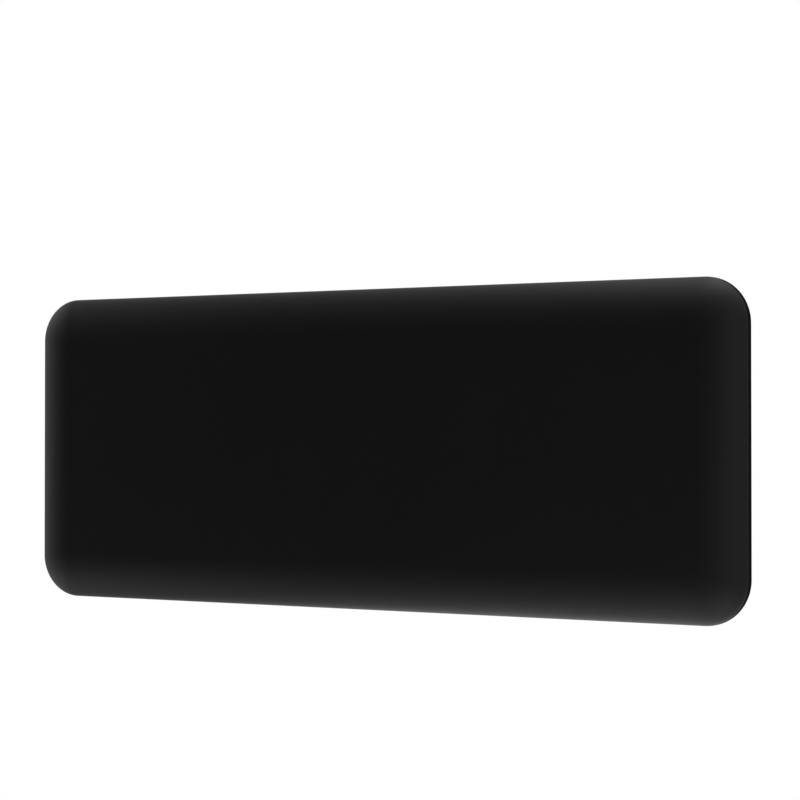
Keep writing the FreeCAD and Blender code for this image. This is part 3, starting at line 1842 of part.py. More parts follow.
nodes = {
    "front_panel": front_panel(),
    "rear_casing": rear_casing(),
    "casing_screws": casing_screws(),
    "outlet_grille": outlet_grille(),
    "rear_heat_shield": rear_heat_shield(),
    "front_baffle": front_baffle(),
    "element_fins": element_fins(),
    "element_rod": element_rod(),
    "element_insulators": Part.makeCompound(
        [element_insulator(holder_left, 1), element_insulator(holder_right, -1)]
    ),
    "element_bracket_left": element_bracket(holder_left, -1),
    "element_bracket_right": element_bracket(holder_right, 1),
    "thermal_limiter": thermal_limiter(),
    "temperature_sensor": temperature_sensor(),
    "sensor_clip": sensor_clip(),
    "control_housing": control_housing(),
    "control_fascia": control_fascia(),
    "display_window": display_window(),
    "display_module": display_module(),
    "display_board": display_board(),
    "tact_switches": tact_switches(),
    "wifi_module": wifi_module(),
    "power_board": power_board(),
    "board_standoffs": board_standoffs(),
    "board_screws": board_screws(),
    "mains_relay": mains_relay(),
    "transformer": transformer(),
    "filter_capacitor": filter_capacitor(),
    "terminal_block": terminal_block(),
    "triac_heatsink": triac_heatsink(),
    "rocker_body": rocker_body(),
    "rocker_paddle": rocker_paddle(),
    "cable_gland": cable_gland(),
    "gland_nut": gland_nut(),
    "earth_stud": earth_stud(),
    "mains_live": mains_live(),
    "mains_neutral": mains_neutral(),
    "mains_earth": mains_earth(),
    "switch_lead": switch_lead(),
    "limiter_lead": limiter_lead(),
    "element_feed_left": element_feed_left(),
    "element_feed_right": element_feed_right(),
    "sensor_lead": sensor_lead(),
    "ribbon_cable": ribbon_cable(),
    "wire_clips": wire_clips(),
    "bracket_arm_left": bracket_arm(-1),
    "bracket_arm_right": bracket_arm(1),
    "bracket_rail_upper": bracket_rail(rail_upper_z),
    "bracket_rail_lower": bracket_rail(rail_lower_z),
    "bracket_rivets": bracket_rivets(),
    "rest_pads": rest_pads(),
    "hinge_lugs": hinge_lugs(),
    "hinge_pins": hinge_pins(),
    "hanger_rivets": hanger_rivets(),
    "lock_left": lock(-1),
    "lock_right": lock(1),
    "lock_keepers": lock_keepers(),
}
for name, x in zip(button_names, button_places()):
    nodes[name] = push_button(x)

os.makedirs("parts", exist_ok=True)
for name, shape in nodes.items():
    shape.exportStep("parts/" + name + ".step")
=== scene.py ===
import json
import math
import bmesh
import bpy
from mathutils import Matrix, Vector

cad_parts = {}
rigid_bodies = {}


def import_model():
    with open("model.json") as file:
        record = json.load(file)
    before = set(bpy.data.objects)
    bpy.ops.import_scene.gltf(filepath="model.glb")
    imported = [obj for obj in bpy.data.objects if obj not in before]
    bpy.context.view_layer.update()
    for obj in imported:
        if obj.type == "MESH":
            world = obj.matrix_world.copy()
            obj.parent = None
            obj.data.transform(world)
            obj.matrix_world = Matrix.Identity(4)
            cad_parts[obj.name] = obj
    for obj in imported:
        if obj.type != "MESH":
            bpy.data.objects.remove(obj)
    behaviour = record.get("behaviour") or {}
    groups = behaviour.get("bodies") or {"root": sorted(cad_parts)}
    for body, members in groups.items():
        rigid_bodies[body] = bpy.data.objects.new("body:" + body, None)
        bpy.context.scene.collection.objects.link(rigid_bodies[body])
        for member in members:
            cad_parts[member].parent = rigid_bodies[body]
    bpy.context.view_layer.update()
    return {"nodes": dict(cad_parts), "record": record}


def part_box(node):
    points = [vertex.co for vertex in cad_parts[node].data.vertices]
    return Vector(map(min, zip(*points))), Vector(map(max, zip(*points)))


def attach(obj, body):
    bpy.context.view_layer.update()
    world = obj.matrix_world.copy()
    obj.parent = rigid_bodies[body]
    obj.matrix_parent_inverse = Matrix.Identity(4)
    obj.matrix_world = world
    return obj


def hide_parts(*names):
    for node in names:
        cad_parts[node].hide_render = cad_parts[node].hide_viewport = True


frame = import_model()
nodes = frame["nodes"]
print("frame loaded with", len(nodes), "nodes")


# Steps that every modelled piece shares

def restSelection():
    if bpy.context.object and bpy.context.object.mode != "OBJECT":
        bpy.ops.object.mode_set(mode="OBJECT")
    bpy.ops.object.select_all(action="DESELECT")


def named(name):
    piece = bpy.context.object
    piece.name = name
    piece.data.name = name
    bpy.ops.object.transform_apply(location=True, rotation=True, scale=True)
    bpy.ops.object.mode_set(mode="EDIT")
    return piece


def startPlane(name, width, depth, place, turn=(0, 0, 0)):
    restSelection()
    bpy.ops.mesh.primitive_plane_add(size=1, location=place, rotation=turn)
    bpy.context.object.scale = (width, depth, 1)
    return named(name)


def pick(piece, kind, test):
    # selects what the test accepts: a vertex, edge or face of the mesh in edit mode
    bpy.context.tool_settings.mesh_select_mode = (kind == "verts", kind == "edges", kind == "faces")
    bpy.ops.mesh.select_all(action="DESELECT")
    shape = bmesh.from_edit_mesh(piece.data)
    for item in getattr(shape, kind):
        item.select_set(test(item))
    shape.select_flush_mode()
    bmesh.update_edit_mesh(piece.data)


def withModifier(piece, kind, settings):
    bpy.ops.object.mode_set(mode="OBJECT")
    modifier = piece.modifiers.new(kind.title(), kind)
    for key, value in settings.items():
        setattr(modifier, key, value)
    bpy.ops.object.modifier_apply(modifier=modifier.name)
    bpy.ops.object.mode_set(mode="EDIT")


def smoothed(degrees):
    bpy.ops.object.mode_set(mode="OBJECT")
    bpy.ops.object.shade_smooth_by_angle(angle=math.radians(degrees))


def faceWay(piece, way):
    # turns a flat sheet over if it looks the wrong way
    shape = bmesh.from_edit_mesh(piece.data)
    if sum(face.normal.dot(way) for face in shape.faces) < 0:
        bpy.ops.mesh.select_all(action="SELECT")
        bpy.ops.mesh.flip_normals()


def recalculated():
    bpy.ops.mesh.select_all(action="SELECT")
    bpy.ops.mesh.remove_doubles(threshold=1e-6)
    bpy.ops.mesh.normals_make_consistent(inside=False)


def turned(name, place, rings, sides):
    # a lathe shape with a bore: rings are heights and radii along Z, made by extruding one circle
    restSelection()
    height, radius = rings[0]
    middle = Vector(place)
    start = middle + Vector((0, 0, height))
    bpy.ops.mesh.primitive_circle_add(vertices=sides, radius=radius, location=start)
    piece = named(name)
    bpy.ops.mesh.select_all(action="SELECT")
    for nextHeight, nextRadius in rings[1:]:
        bpy.ops.mesh.extrude_region_move(TRANSFORM_OT_translate={"value": (0, 0, nextHeight - height)})
        share = nextRadius / radius
        centre = middle + Vector((0, 0, nextHeight))
        bpy.ops.transform.resize(value=(share, share, 1), center_override=centre)
        height, radius = nextHeight, nextRadius
    pick(piece, "edges", lambda edge: edge.is_boundary)
    bpy.ops.mesh.bridge_edge_loops()
    recalculated()
    return piece


def repeated(piece, places, turn):
    # copies a piece modelled at the origin to its places, and joins the copies
    bpy.ops.object.mode_set(mode="OBJECT")
    name = piece.name
    copies = []
    for place in places:
        restSelection()
        piece.select_set(True)
        bpy.context.view_layer.objects.active = piece
        bpy.ops.object.duplicate()
        copy = bpy.context.object
        copy.location = place
        copy.rotation_euler = turn
        copies.append(copy)
    restSelection()
    bpy.data.objects.remove(piece)
    for copy in copies:
        copy.select_set(True)
    bpy.context.view_layer.objects.active = copies[0]
    bpy.ops.object.join()
    whole = named(name)
    bpy.ops.object.mode_set(mode="OBJECT")
    return whole


def groupBoxes(node, reach):
    # middles and corners of the separate solids of a node
    boxes = []
    for vertex in nodes[node].data.vertices:
        spot = vertex.co
        for box in boxes:
            if (spot - box[2]).length < reach:
                box[0] = Vector(map(min, box[0], spot))
                box[1] = Vector(map(max, box[1], spot))
                break
        else:
            boxes.append([spot.copy(), spot.copy(), spot.copy()])
    return [(low, high) for low, high, first in boxes]


# Shader maths: a socket that can stand in a sum

class Sock:
    def __init__(self, finish, socket):
        self.finish = finish
        self.socket = socket

    def maths(self, operation, first, second):
        return self.finish.node("ShaderNodeMath", {"operation": operation}, {0: first, 1: second})

    def __add__(self, other):
        return self.maths("ADD", self, other)

    def __radd__(self, other):
        return self.maths("ADD", other, self)

    def __sub__(self, other):
        return self.maths("SUBTRACT", self, other)

    def __rsub__(self, other):
        return self.maths("SUBTRACT", other, self)

    def __mul__(self, other):
        return self.maths("MULTIPLY", self, other)

    def __rmul__(self, other):
        return self.maths("MULTIPLY", other, self)

    def __gt__(self, other):
        return self.maths("GREATER_THAN", self, other)


class Finish:
    def __init__(self, owner):
        owner.use_nodes = True
        self.owner = owner
        self.tree = owner.node_tree
        self.tree.nodes.clear()

    def node(self, kind, settings, sockets, output=0):
        made = self.tree.nodes.new(kind)
        for key, value in settings.items():
            if key == "stops":
                for index, (place, colour) in enumerate(value):
                    stops = made.color_ramp.elements
                    stop = stops[index] if index < 2 else stops.new(place)
                    stop.position = place
                    stop.color = colour
            else:
                setattr(made, key, value)
        for key, value in sockets.items():
            if isinstance(value, Sock):
                self.tree.links.new(value.socket, made.inputs[key])
            else:
                made.inputs[key].default_value = value
        return Sock(self, made.outputs[output]) if made.outputs else None

    def place(self):
        return self.node("ShaderNodeTexCoord", {}, {}, "Object")

    def noise(self, scale, detail=2.0, rough=0.5, vector=None):
        vector = vector or self.place()
        sockets = {"Vector": vector, "Scale": scale, "Detail": detail, "Roughness": rough}
        return self.node("ShaderNodeTexNoise", {}, sockets, "Fac")

    def tint(self, factor, dark, light):
        # colour between two others
        sockets = {0: factor, 6: dark + (1,), 7: light + (1,)}
        return self.node("ShaderNodeMix", {"data_type": "RGBA"}, sockets, 2)

    def bump(self, height, strength, distance):
        sockets = {"Height": height, "Strength": strength, "Distance": distance}
        return self.node("ShaderNodeBump", {}, sockets)

    def surface(self, sockets):
        shader = self.node("ShaderNodeBsdfPrincipled", {}, sockets)
        self.node("ShaderNodeOutputMaterial", {}, {"Surface": shader})
        return self.owner


def newFinish(name):
    return Finish(bpy.data.materials.new(name))


def dress(finish, name):
    for slot in nodes[name].material_slots:
        slot.material = finish


# Front shell: pressed steel pan with a soft edge, a rim and an inward lip
shellLook = {
    "cornerRadius": 0.048,
    "edgeRun": 0.054,
    "insetShare": 0.78,
    "edgeFall": 0.030,
    "handleShare": 0.5,
    "rimDepth": 0.006,
    "rimBend": 0.0018,
    "lipWidth": 0.024,
    "sheet": 0.001,
    "cornerSteps": 26,
    "edgeSteps": 22,
    "bendSteps": 6,
}


def softEdge(share):
    # inset and rise of the pressed edge, from the rim at 0 to the flat front at 1
    run = shellLook["edgeRun"]
    fall = shellLook["edgeFall"]
    lean = shellLook["handleShare"]
    back = 1 - share
    inset = 3 * back * share ** 2 * run * (1 - lean) + share ** 3 * run
    rise = 3 * back ** 2 * share * fall * lean + 3 * back * share ** 2 * fall + share ** 3 * fall
    return inset, rise


def frontShell():
    low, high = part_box("front_panel")
    rimY = low[1] + shellLook["edgeFall"]
    lipY = rimY + shellLook["rimDepth"]
    turn = (math.radians(90), 0, 0)
    piece = startPlane("frontShell", high[0] - low[0], high[2] - low[2], (0, rimY, 0), turn)
    bpy.ops.mesh.select_all(action="SELECT")
    bpy.ops.mesh.bevel(
        offset=shellLook["cornerRadius"],
        affect="VERTICES",
        segments=shellLook["cornerSteps"],
        profile=0.5,
    )
    half = (high[0] - low[0]) / 2
    tall = (high[2] - low[2]) / 2
    before = (0, 0)
    for step in range(shellLook["edgeSteps"]):
        now = softEdge((step + 1) / shellLook["edgeSteps"])
        pick(piece, "faces", lambda face: len(face.verts) > 4)
        even = (now[0] - before[0]) * shellLook["insetShare"]
        bpy.ops.mesh.inset(thickness=even, depth=now[1] - before[1])
        # the rest of the step is a plain shrink, so the corner keeps some of its radius
        shrinkX = (half - now[0]) / (half - before[0] - even)
        shrinkZ = (tall - now[0]) / (tall - before[0] - even)
        bpy.ops.transform.resize(value=(shrinkX, 1, shrinkZ), center_override=(0, 0, 0))
        before = now
    pick(piece, "edges", lambda edge: edge.is_boundary)
    bpy.ops.mesh.extrude_region_move(TRANSFORM_OT_translate={"value": (0, lipY - rimY, 0)})
    bpy.ops.mesh.edge_face_add()
    pick(piece, "faces", lambda face: len(face.verts) > 4 and face.calc_center_median().y > rimY)
    bpy.ops.mesh.inset(thickness=shellLook["lipWidth"])
    bpy.ops.mesh.delete(type="FACE")

    def onRim(vertex):
        slack = 1e-4
        cornerX = max(abs(vertex.co.x) - half + shellLook["cornerRadius"], 0)
        cornerZ = max(abs(vertex.co.z) - tall + shellLook["cornerRadius"], 0)
        reach = math.hypot(cornerX, cornerZ)
        return abs(vertex.co.y - lipY) < slack and abs(reach - shellLook["cornerRadius"]) < slack

    pick(piece, "edges", lambda edge: onRim(edge.verts[0]) and onRim(edge.verts[1]))
    bpy.ops.mesh.bevel(
        offset=shellLook["rimBend"],
        affect="EDGES",
        segments=shellLook["bendSteps"],
        profile=0.5,
    )
    bpy.ops.mesh.select_all(action="SELECT")
    bpy.ops.mesh.normals_make_consistent(inside=False)
    withModifier(piece, "SOLIDIFY", {"thickness": shellLook["sheet"], "offset": -1})
    smoothed(degrees=35)
    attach(piece, "heater")
    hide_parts("front_panel")
    return piece


shell = frontShell()
print("front shell has", len(shell.data.polygons), "faces")


# Finishes of the part, one for each material slot of the record

def between(finish, factor, colour, spread):
    # a colour that drifts a little darker and lighter
    dark = tuple((1 - spread) * part for part in colour)
    light = tuple((1 + spread) * part for part in colour)
    return finish.tint(factor, dark, light)


def stretched(finish, scale):
    return finish.node("ShaderNodeMapping", {}, {"Vector": finish.place(), "Scale": scale})


def powderCoat(name, look):
    finish = newFinish(name)
    grain = finish.noise(scale=1900.0, detail=2.0)
    peel = finish.noise(scale=420.0, detail=1.0)
    drift = finish.noise(scale=9.0, detail=3.0)
    return finish.surface({
        "Base Color": between(finish, drift, look["colour"], spread=0.14),
        "Roughness": look["rough"] + 0.08 * (grain - 0.5) + 0.05 * (drift - 0.5),
        "Specular IOR Level": look["specular"],
        "Normal": finish.bump(0.8 * grain + 0.2 * peel, strength=look["bump"], distance=0.0006),
    })


def spangledZinc(name, look):
    finish = newFinish(name)
    cells = finish.node(
        "ShaderNodeTexVoronoi", {}, {"Vector": finish.place(), "Scale": 95.0, "Randomness": 1.0}, "Color"
    )
    patch = finish.node("ShaderNodeSeparateColor", {}, {"Color": cells}, 0)
    dust = finish.noise(scale=700.0, detail=3.0)
    return finish.surface({
        "Base Color": between(finish, patch, look["colour"], spread=0.16),
        "Metallic": 1.0,
        "Roughness": 0.34 + 0.16 * patch + 0.08 * dust,
        "Normal": finish.bump(0.7 * patch + 0.3 * dust, strength=0.08, distance=0.0003),
    })


def platedZinc(name, look):
    finish = newFinish(name)
    turning = finish.noise(scale=2600.0, detail=3.0, rough=0.6)
    bloom = finish.noise(scale=240.0, detail=3.0)
    return finish.surface({
        "Base Color": between(finish, bloom, look["colour"], spread=0.12),
        "Metallic": 1.0,
        "Roughness": 0.26 + 0.14 * bloom,
        "Normal": finish.bump(turning, strength=0.06, distance=0.0001),
    })


def drawnMetal(name, look):
    finish = newFinish(name)
    lines = finish.noise(scale=1.0, detail=3.0, rough=0.65, vector=stretched(finish, look["lines"]))
    stain = finish.noise(scale=30.0, detail=4.0)
    return finish.surface({
        "Base Color": between(finish, stain, look["colour"], spread=0.12),
        "Metallic": 1.0,
        "Roughness": 0.3 + 0.22 * lines,
        "Normal": finish.bump(lines, strength=0.1, distance=0.0002),
    })


def heatedSteel(name, look):
    finish = newFinish(name)
    bands = finish.noise(scale=1.0, detail=3.0, rough=0.5, vector=stretched(finish, (34, 60, 60)))
    # a new ramp has two stops, so the middle one comes last
    stops = [(0.3, look["grey"] + (1,)), (0.75, look["plum"] + (1,)), (0.55, look["straw"] + (1,))]
    tint = finish.node("ShaderNodeValToRGB", {"stops": stops}, {"Fac": bands})
    grain = finish.noise(scale=1800.0, detail=2.0)
    return finish.surface({
        "Base Color": tint,
        "Metallic": 1.0,
        "Roughness": 0.42 + 0.12 * grain,
        "Normal": finish.bump(grain, strength=0.06, distance=0.0002),
    })


def glazedClay(name, look):
    finish = newFinish(name)
    speck = finish.noise(scale=620.0, detail=4.0)
    cloud = finish.noise(scale=60.0, detail=2.0)
    return finish.surface({
        "Base Color": between(finish, 0.5 * speck + 0.5 * cloud, look["colour"], spread=0.08),
        "Roughness": 0.22 + 0.14 * speck,
        "Normal": finish.bump(cloud, strength=0.06, distance=0.0004),
    })


def moulding(name, look):
    # spark-textured plastic
    finish = newFinish(name)
    spark = finish.noise(scale=look["grain"], detail=3.0, rough=0.6)
    flow = finish.noise(scale=26.0, detail=3.0)
    return finish.surface({
        "Base Color": between(finish, flow, look["colour"], spread=0.12),
        "Roughness": look["rough"] + 0.12 * (spark - 0.5),
        "Specular IOR Level": look["specular"],
        "Normal": finish.bump(spark, strength=0.22, distance=0.00012),
    })


def smokedPane(name, look):
    finish = newFinish(name)
    smear = finish.noise(scale=55.0, detail=4.0)
    return finish.surface({
        "Base Color": between(finish, smear, look["colour"], spread=0.2),
        "Roughness": 0.04 + 0.06 * smear,
        "Alpha": look["alpha"],
    })


def boardMask(name, look):
    finish = newFinish(name)
    tracks = finish.node(
        "ShaderNodeTexBrick",
        {"offset": 0.5, "squash": 1.0},
        {"Vector": finish.place(), "Scale": 420.0, "Mortar Size": 0.07, "Mortar Smooth": 0.1},
        "Fac",
    )
    weave = finish.noise(scale=900.0, detail=2.0)
    dark = tuple(0.7 * part for part in look["colour"])
    light = tuple(1.5 * part for part in look["colour"])
    return finish.surface({
        "Base Color": finish.tint(tracks, dark, light),
        "Roughness": 0.3 + 0.15 * weave,
        "Normal": finish.bump(tracks, strength=0.15, distance=0.0001),
    })


def sleeve(name, look):
    # drawn insulation with a faint rib along it
    finish = newFinish(name)
    rub = finish.noise(scale=160.0, detail=3.0)
    rib = finish.noise(scale=1.0, detail=2.0, rough=0.5, vector=stretched(finish, (300, 2200, 2200)))
    return finish.surface({
        "Base Color": between(finish, rub, look["colour"], spread=0.14),
        "Roughness": 0.45 + 0.18 * rub,
        "Normal": finish.bump(rib, strength=0.12, distance=0.0002),
    })


def stripedSleeve(name, look):
    finish = newFinish(name)
    bands = finish.node(
        "ShaderNodeTexWave", {"wave_type": "BANDS", "bands_direction": "DIAGONAL"},
        {"Vector": finish.place(), "Scale": 95.0, "Distortion": 0.6}, "Fac",
    )
    rub = finish.noise(scale=160.0, detail=3.0)
    return finish.surface({
        "Base Color": finish.tint(bands > 0.55, look["green"], look["yellow"]),
        "Roughness": 0.45 + 0.18 * rub,
        "Normal": finish.bump(rub, strength=0.08, distance=0.0002),
    })


def flatCable(name, look):
    finish = newFinish(name)
    cores = finish.node(
        "ShaderNodeTexWave", {"wave_type": "BANDS", "bands_direction": "X"},
        {"Vector": finish.place(), "Scale": 250.0, "Distortion": 0.0}, "Fac",
    )
    rub = finish.noise(scale=140.0, detail=3.0)
    return finish.surface({
        "Base Color": between(finish, 0.6 * cores + 0.4 * rub, look["colour"], spread=0.22),
        "Roughness": 0.5 + 0.12 * rub,
        "Normal": finish.bump(cores, strength=0.3, distance=0.0003),
    })


def softRubber(name, look):
    finish = newFinish(name)
    pores = finish.noise(scale=1100.0, detail=3.0)
    chalk = finish.noise(scale=70.0, detail=4.0)
    return finish.surface({
        "Base Color": between(finish, chalk, look["colour"], spread=0.3),
        "Roughness": 0.72 + 0.14 * (pores - 0.5),
        "Specular IOR Level": 0.35,
        "Normal": finish.bump(pores, strength=0.2, distance=0.0002),
    })


finishLook = {
    "black_powder_coat": (
        powderCoat, {"colour": (0.0062, 0.0061, 0.006), "rough": 0.5, "specular": 0.3, "bump": 0.45}
    ),
    "bracket_coat": (
        powderCoat, {"colour": (0.011, 0.011, 0.0112), "rough": 0.42, "specular": 0.4, "bump": 0.45}
    ),
    "galvanised_sheet": (spangledZinc, {"colour": (0.56, 0.57, 0.58)}),
    "zinc_plate": (platedZinc, {"colour": (0.58, 0.59, 0.61)}),
    "extruded_aluminium": (drawnMetal, {"colour": (0.72, 0.73, 0.74), "lines": (3, 900, 900)}),
    "shield_can": (drawnMetal, {"colour": (0.66, 0.66, 0.66), "lines": (400, 6, 400)}),
    "element_steel": (
        heatedSteel,
        {"grey": (0.30, 0.29, 0.28), "straw": (0.26, 0.19, 0.12), "plum": (0.12, 0.10, 0.13)},
    ),
    "ceramic": (glazedClay, {"colour": (0.8, 0.78, 0.72)}),
    "black_moulding": (
        moulding, {"colour": (0.0085, 0.0085, 0.0088), "rough": 0.46, "specular": 0.45, "grain": 2400.0}
    ),
    "button_moulding": (
        moulding, {"colour": (0.02, 0.02, 0.021), "rough": 0.4, "specular": 0.5, "grain": 3000.0}
    ),
    "black_component": (
        moulding, {"colour": (0.022, 0.022, 0.022), "rough": 0.42, "specular": 0.5, "grain": 2000.0}
    ),
    "blue_component": (
        moulding, {"colour": (0.04, 0.12, 0.4), "rough": 0.36, "specular": 0.5, "grain": 1800.0}
    ),
    "yellow_component": (
        moulding, {"colour": (0.7, 0.5, 0.06), "rough": 0.4, "specular": 0.5, "grain": 900.0}
    ),
    "green_component": (
        moulding, {"colour": (0.05, 0.3, 0.1), "rough": 0.4, "specular": 0.5, "grain": 1800.0}
    ),
    "nylon": (moulding, {"colour": (0.76, 0.74, 0.68), "rough": 0.44, "specular": 0.5, "grain": 1500.0}),
    "display_face": (smokedPane, {"colour": (0.008, 0.009, 0.009), "alpha": 1.0}),
    "smoked_window": (smokedPane, {"colour": (0.006, 0.006, 0.007), "alpha": 0.5}),
    "circuit_board": (boardMask, {"colour": (0.02, 0.13, 0.05)}),
    "brown_wire": (sleeve, {"colour": (0.2, 0.085, 0.035)}),
    "blue_wire": (sleeve, {"colour": (0.05, 0.16, 0.48)}),
    "white_wire": (sleeve, {"colour": (0.76, 0.75, 0.7)}),
    "earth_wire": (stripedSleeve, {"green": (0.05, 0.27, 0.06), "yellow": (0.72, 0.58, 0.04)}),
    "grey_ribbon": (flatCable, {"colour": (0.4, 0.4, 0.41)}),
    "rubber": (softRubber, {"colour": (0.012, 0.012, 0.012)}),
}
finishOf = {slot: make(slot, look) for slot, (make, look) in finishLook.items()}
for row in frame["record"]["subparts"]:
    dress(finishOf[row["material_slot"]], row["node"])

# the front has the same coat in a duller cure; its rim is painted darker and duller still, a painted
# shade line along the edge
frontLook = {"colour": (0.0027, 0.0026, 0.0024), "rough": 0.55, "specular": 0.12, "bump": 0.35}
rimShadeLook = {
    "colour": (0.0022, 0.0022, 0.0021),
    "rough": 0.75,
    "specular": 0.02,
    "bump": 0.35,
    "climb": 0.0015,  # how far the rim's painted shade comes up the soft edge
}


def coatShell():
    shell.data.materials.append(powderCoat("frontCoat", frontLook))
    shell.data.materials.append(powderCoat("rimPaintedShade", rimShadeLook))
    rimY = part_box("front_panel")[0][1] + shellLook["edgeFall"]
    shadeBandStart = rimY - rimShadeLook["climb"]
    shadeBandEnd = rimY + shellLook["rimDepth"] - shellLook["sheet"] / 2
    for face in shell.data.polygons:
        # faces in the rim band take the painted shade coat, a darker line that stands in for shade along
        # the rim
        face.material_index = 1 if shadeBandStart < face.center.y < shadeBandEnd else 0


coatShell()


def glowing(name, look):
    finish = newFinish(name)
    flicker = finish.noise(scale=900.0, detail=2.0)
    return finish.surface({
        "Base Color": between(finish, flicker, look["colour"], spread=0.05),
        "Emission Color": between(finish, flicker, look["colour"], spread=0.05),
        "Emission Strength": look["strength"],
        "Roughness": 0.5,
    })


inkLook = {"colour": (0.62, 0.62, 0.61), "rough": 0.5, "specular": 0.3, "grain": 5000.0}
glowLook = {"colour": (0.82, 0.9, 0.95), "strength": 1.6}
signInk = moulding("signInk", inkLook)
figureGlow = glowing("figureGlow", glowLook)
print("finishes made for", len(finishOf), "slots")


# Signs printed on the four buttons
signLook = {
    "stroke": 0.0008,
    "length": 0.0052,
    "ring": 0.0026,
    "ringSides": 56,
    "gapShare": 1.7,
    "endShare": 0.45,
    "endSteps": 6,
    "barLift": 0.3,
    "barPitch": 0.0017,
    "print": 0.00008,
}


def printed(piece, way, body):
    # gives a flat sign its print thickness
    faceWay(piece, way)
    withModifier(piece, "SOLIDIFY", {"thickness": signLook["print"], "offset": 1})
    smoothed(degrees=30)
    piece.data.materials.append(signInk)
    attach(piece, body)


def barSign(name, width, length, place, turn=(0, 0, 0)):
    piece = startPlane(name, width, length, place, turn)
    bpy.ops.mesh.select_all(action="SELECT")
    rounding = min(width, length) * signLook["endShare"]
    bpy.ops.mesh.bevel(offset=rounding, affect="VERTICES", segments=signLook["endSteps"], profile=0.5)
    return piece


def ringSign(name, outer, place, turn=(0, 0, 0)):
    restSelection()
    bpy.ops.mesh.primitive_circle_add(
        vertices=signLook["ringSides"], radius=outer, location=place, rotation=turn
    )
    piece = named(name)
    bpy.ops.mesh.select_all(action="SELECT")
    bpy.ops.mesh.extrude_region_move()
    share = 1 - signLook["stroke"] / outer
    bpy.ops.transform.resize(value=(share, share, share), center_override=place)
    return piece


def crossSheet(name, stroke, reach, middle):
    # a small square with an arm drawn out of each side
    piece = startPlane(name, stroke, stroke, middle)
    for way in (Vector((1, 0, 0)), Vector((-1, 0, 0)), Vector((0, 1, 0)), Vector((0, -1, 0))):

        def onSide(edge):
            spot = (edge.verts[0].co + edge.verts[1].co) / 2 - middle
            along = spot.dot(way)
            slack = stroke * 0.1
            return abs(along - stroke / 2) < slack and (spot - along * way).length < slack

        pick(piece, "edges", onSide)
        bpy.ops.mesh.extrude_region_move(TRANSFORM_OT_translate={"value": (reach - stroke / 2) * way})
    return piece


def buttonTop(node):
    low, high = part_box(node)
    return Vector(((low[0] + high[0]) / 2, (low[1] + high[1]) / 2, high[2]))


def buttonSigns():
    up = Vector((0, 0, 1))
    stroke = signLook["stroke"]
    length = signLook["length"]
    middle = buttonTop("button_power")
    ring = ringSign("powerRing", signLook["ring"], middle)

    def inGap(face):
        spot = face.calc_center_median() - middle
        return spot.y > 0 and abs(spot.x) < stroke * signLook["gapShare"]

    pick(ring, "faces", inGap)
    bpy.ops.mesh.delete(type="FACE")
    printed(ring, up, "button_power")
    lift = Vector((0, length * signLook["barLift"], 0))
    printed(barSign("powerBar", stroke, length / 2, middle + lift), up, "button_power")
    printed(barSign("minusBar", length, stroke, buttonTop("button_minus")), up, "button_minus")
    plus = crossSheet("plusCross", stroke, length / 2, buttonTop("button_plus"))
    recalculated()
    printed(plus, up, "button_plus")
    middle = buttonTop("button_menu")
    bars = barSign("menuBars", length, stroke, middle - Vector((0, signLook["barPitch"], 0)))
    for step in range(2):
        bpy.ops.mesh.select_linked()
        bpy.ops.mesh.duplicate_move(TRANSFORM_OT_translate={"value": (0, signLook["barPitch"], 0)})
    printed(bars, up, "button_menu")


# Lit figures under the smoked window
figureLook = {
    "tall": 0.0068,
    "wide": 0.0034,
    "stroke": 0.0008,
    "pitch": 0.0062,
    "lift": 0.00002,
    "degree": 0.0012,
    "degreeShare": 0.75,
}


def litFigures():
    low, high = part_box("display_module")
    middle = Vector(((low[0] + high[0]) / 2, (low[1] + high[1]) / 2, high[2] + figureLook["lift"]))
    wide = figureLook["wide"] / 2
    tall = figureLook["tall"] / 2
    flat = figureLook["wide"] - figureLook["stroke"]
    upright = tall - figureLook["stroke"]
    segments = {
        "top": (0, tall, True),
        "upperRight": (wide, tall / 2, False),
        "lowerRight": (wide, -tall / 2, False),
        "bottom": (0, -tall, True),
        "lowerLeft": (-wide, -tall / 2, False),
        "middle": (0, 0, True),
    }
    shown = [
        ("two", -figureLook["pitch"], ("top", "upperRight", "middle", "lowerLeft", "bottom")),
        ("one", 0, ("upperRight", "lowerRight")),
    ]
    for name, shift, lit in shown:
        for part in lit:
            alongX, alongY, lying = segments[part]
            width, length = (flat, figureLook["stroke"]) if lying else (figureLook["stroke"], upright)
            place = middle + Vector((shift + alongX, alongY, 0))
            piece = barSign(name + part[0].upper() + part[1:], width, length, place)
            printed(piece, Vector((0, 0, 1)), "heater")
            piece.data.materials[0] = figureGlow
    share = figureLook["degreeShare"]
    corner = middle + Vector((figureLook["pitch"] * share, tall * share, 0))
    degree = ringSign("degreeRing", figureLook["degree"], corner)
    printed(degree, Vector((0, 0, 1)), "heater")
    degree.data.materials[0] = figureGlow


# On and off signs on the rocker
rockerLook = {
    "bar": 0.0034,
    "ring": 0.0017,
    "height": {"rockerOn": 0.76, "rockerOff": 0.24},
    "clear": 0.01,
}


def rockerSigns():
    low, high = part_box("rocker_paddle")
    for name, share in rockerLook["height"].items():
        height = low[2] + share * (high[2] - low[2])
        start = Vector((high[0] + rockerLook["clear"], (low[1] + high[1]) / 2, height))
        spot, way = nodes["rocker_paddle"].ray_cast(start, Vector((-1, 0, 0)))[1:3]
        turn = way.to_track_quat("Z", "Y").to_euler()
        if name == "rockerOn":
            piece = barSign(name, signLook["stroke"], rockerLook["bar"], spot, turn)
        else:
            piece = ringSign(name, rockerLook["ring"], spot, turn)
        printed(piece, way, "rocker")


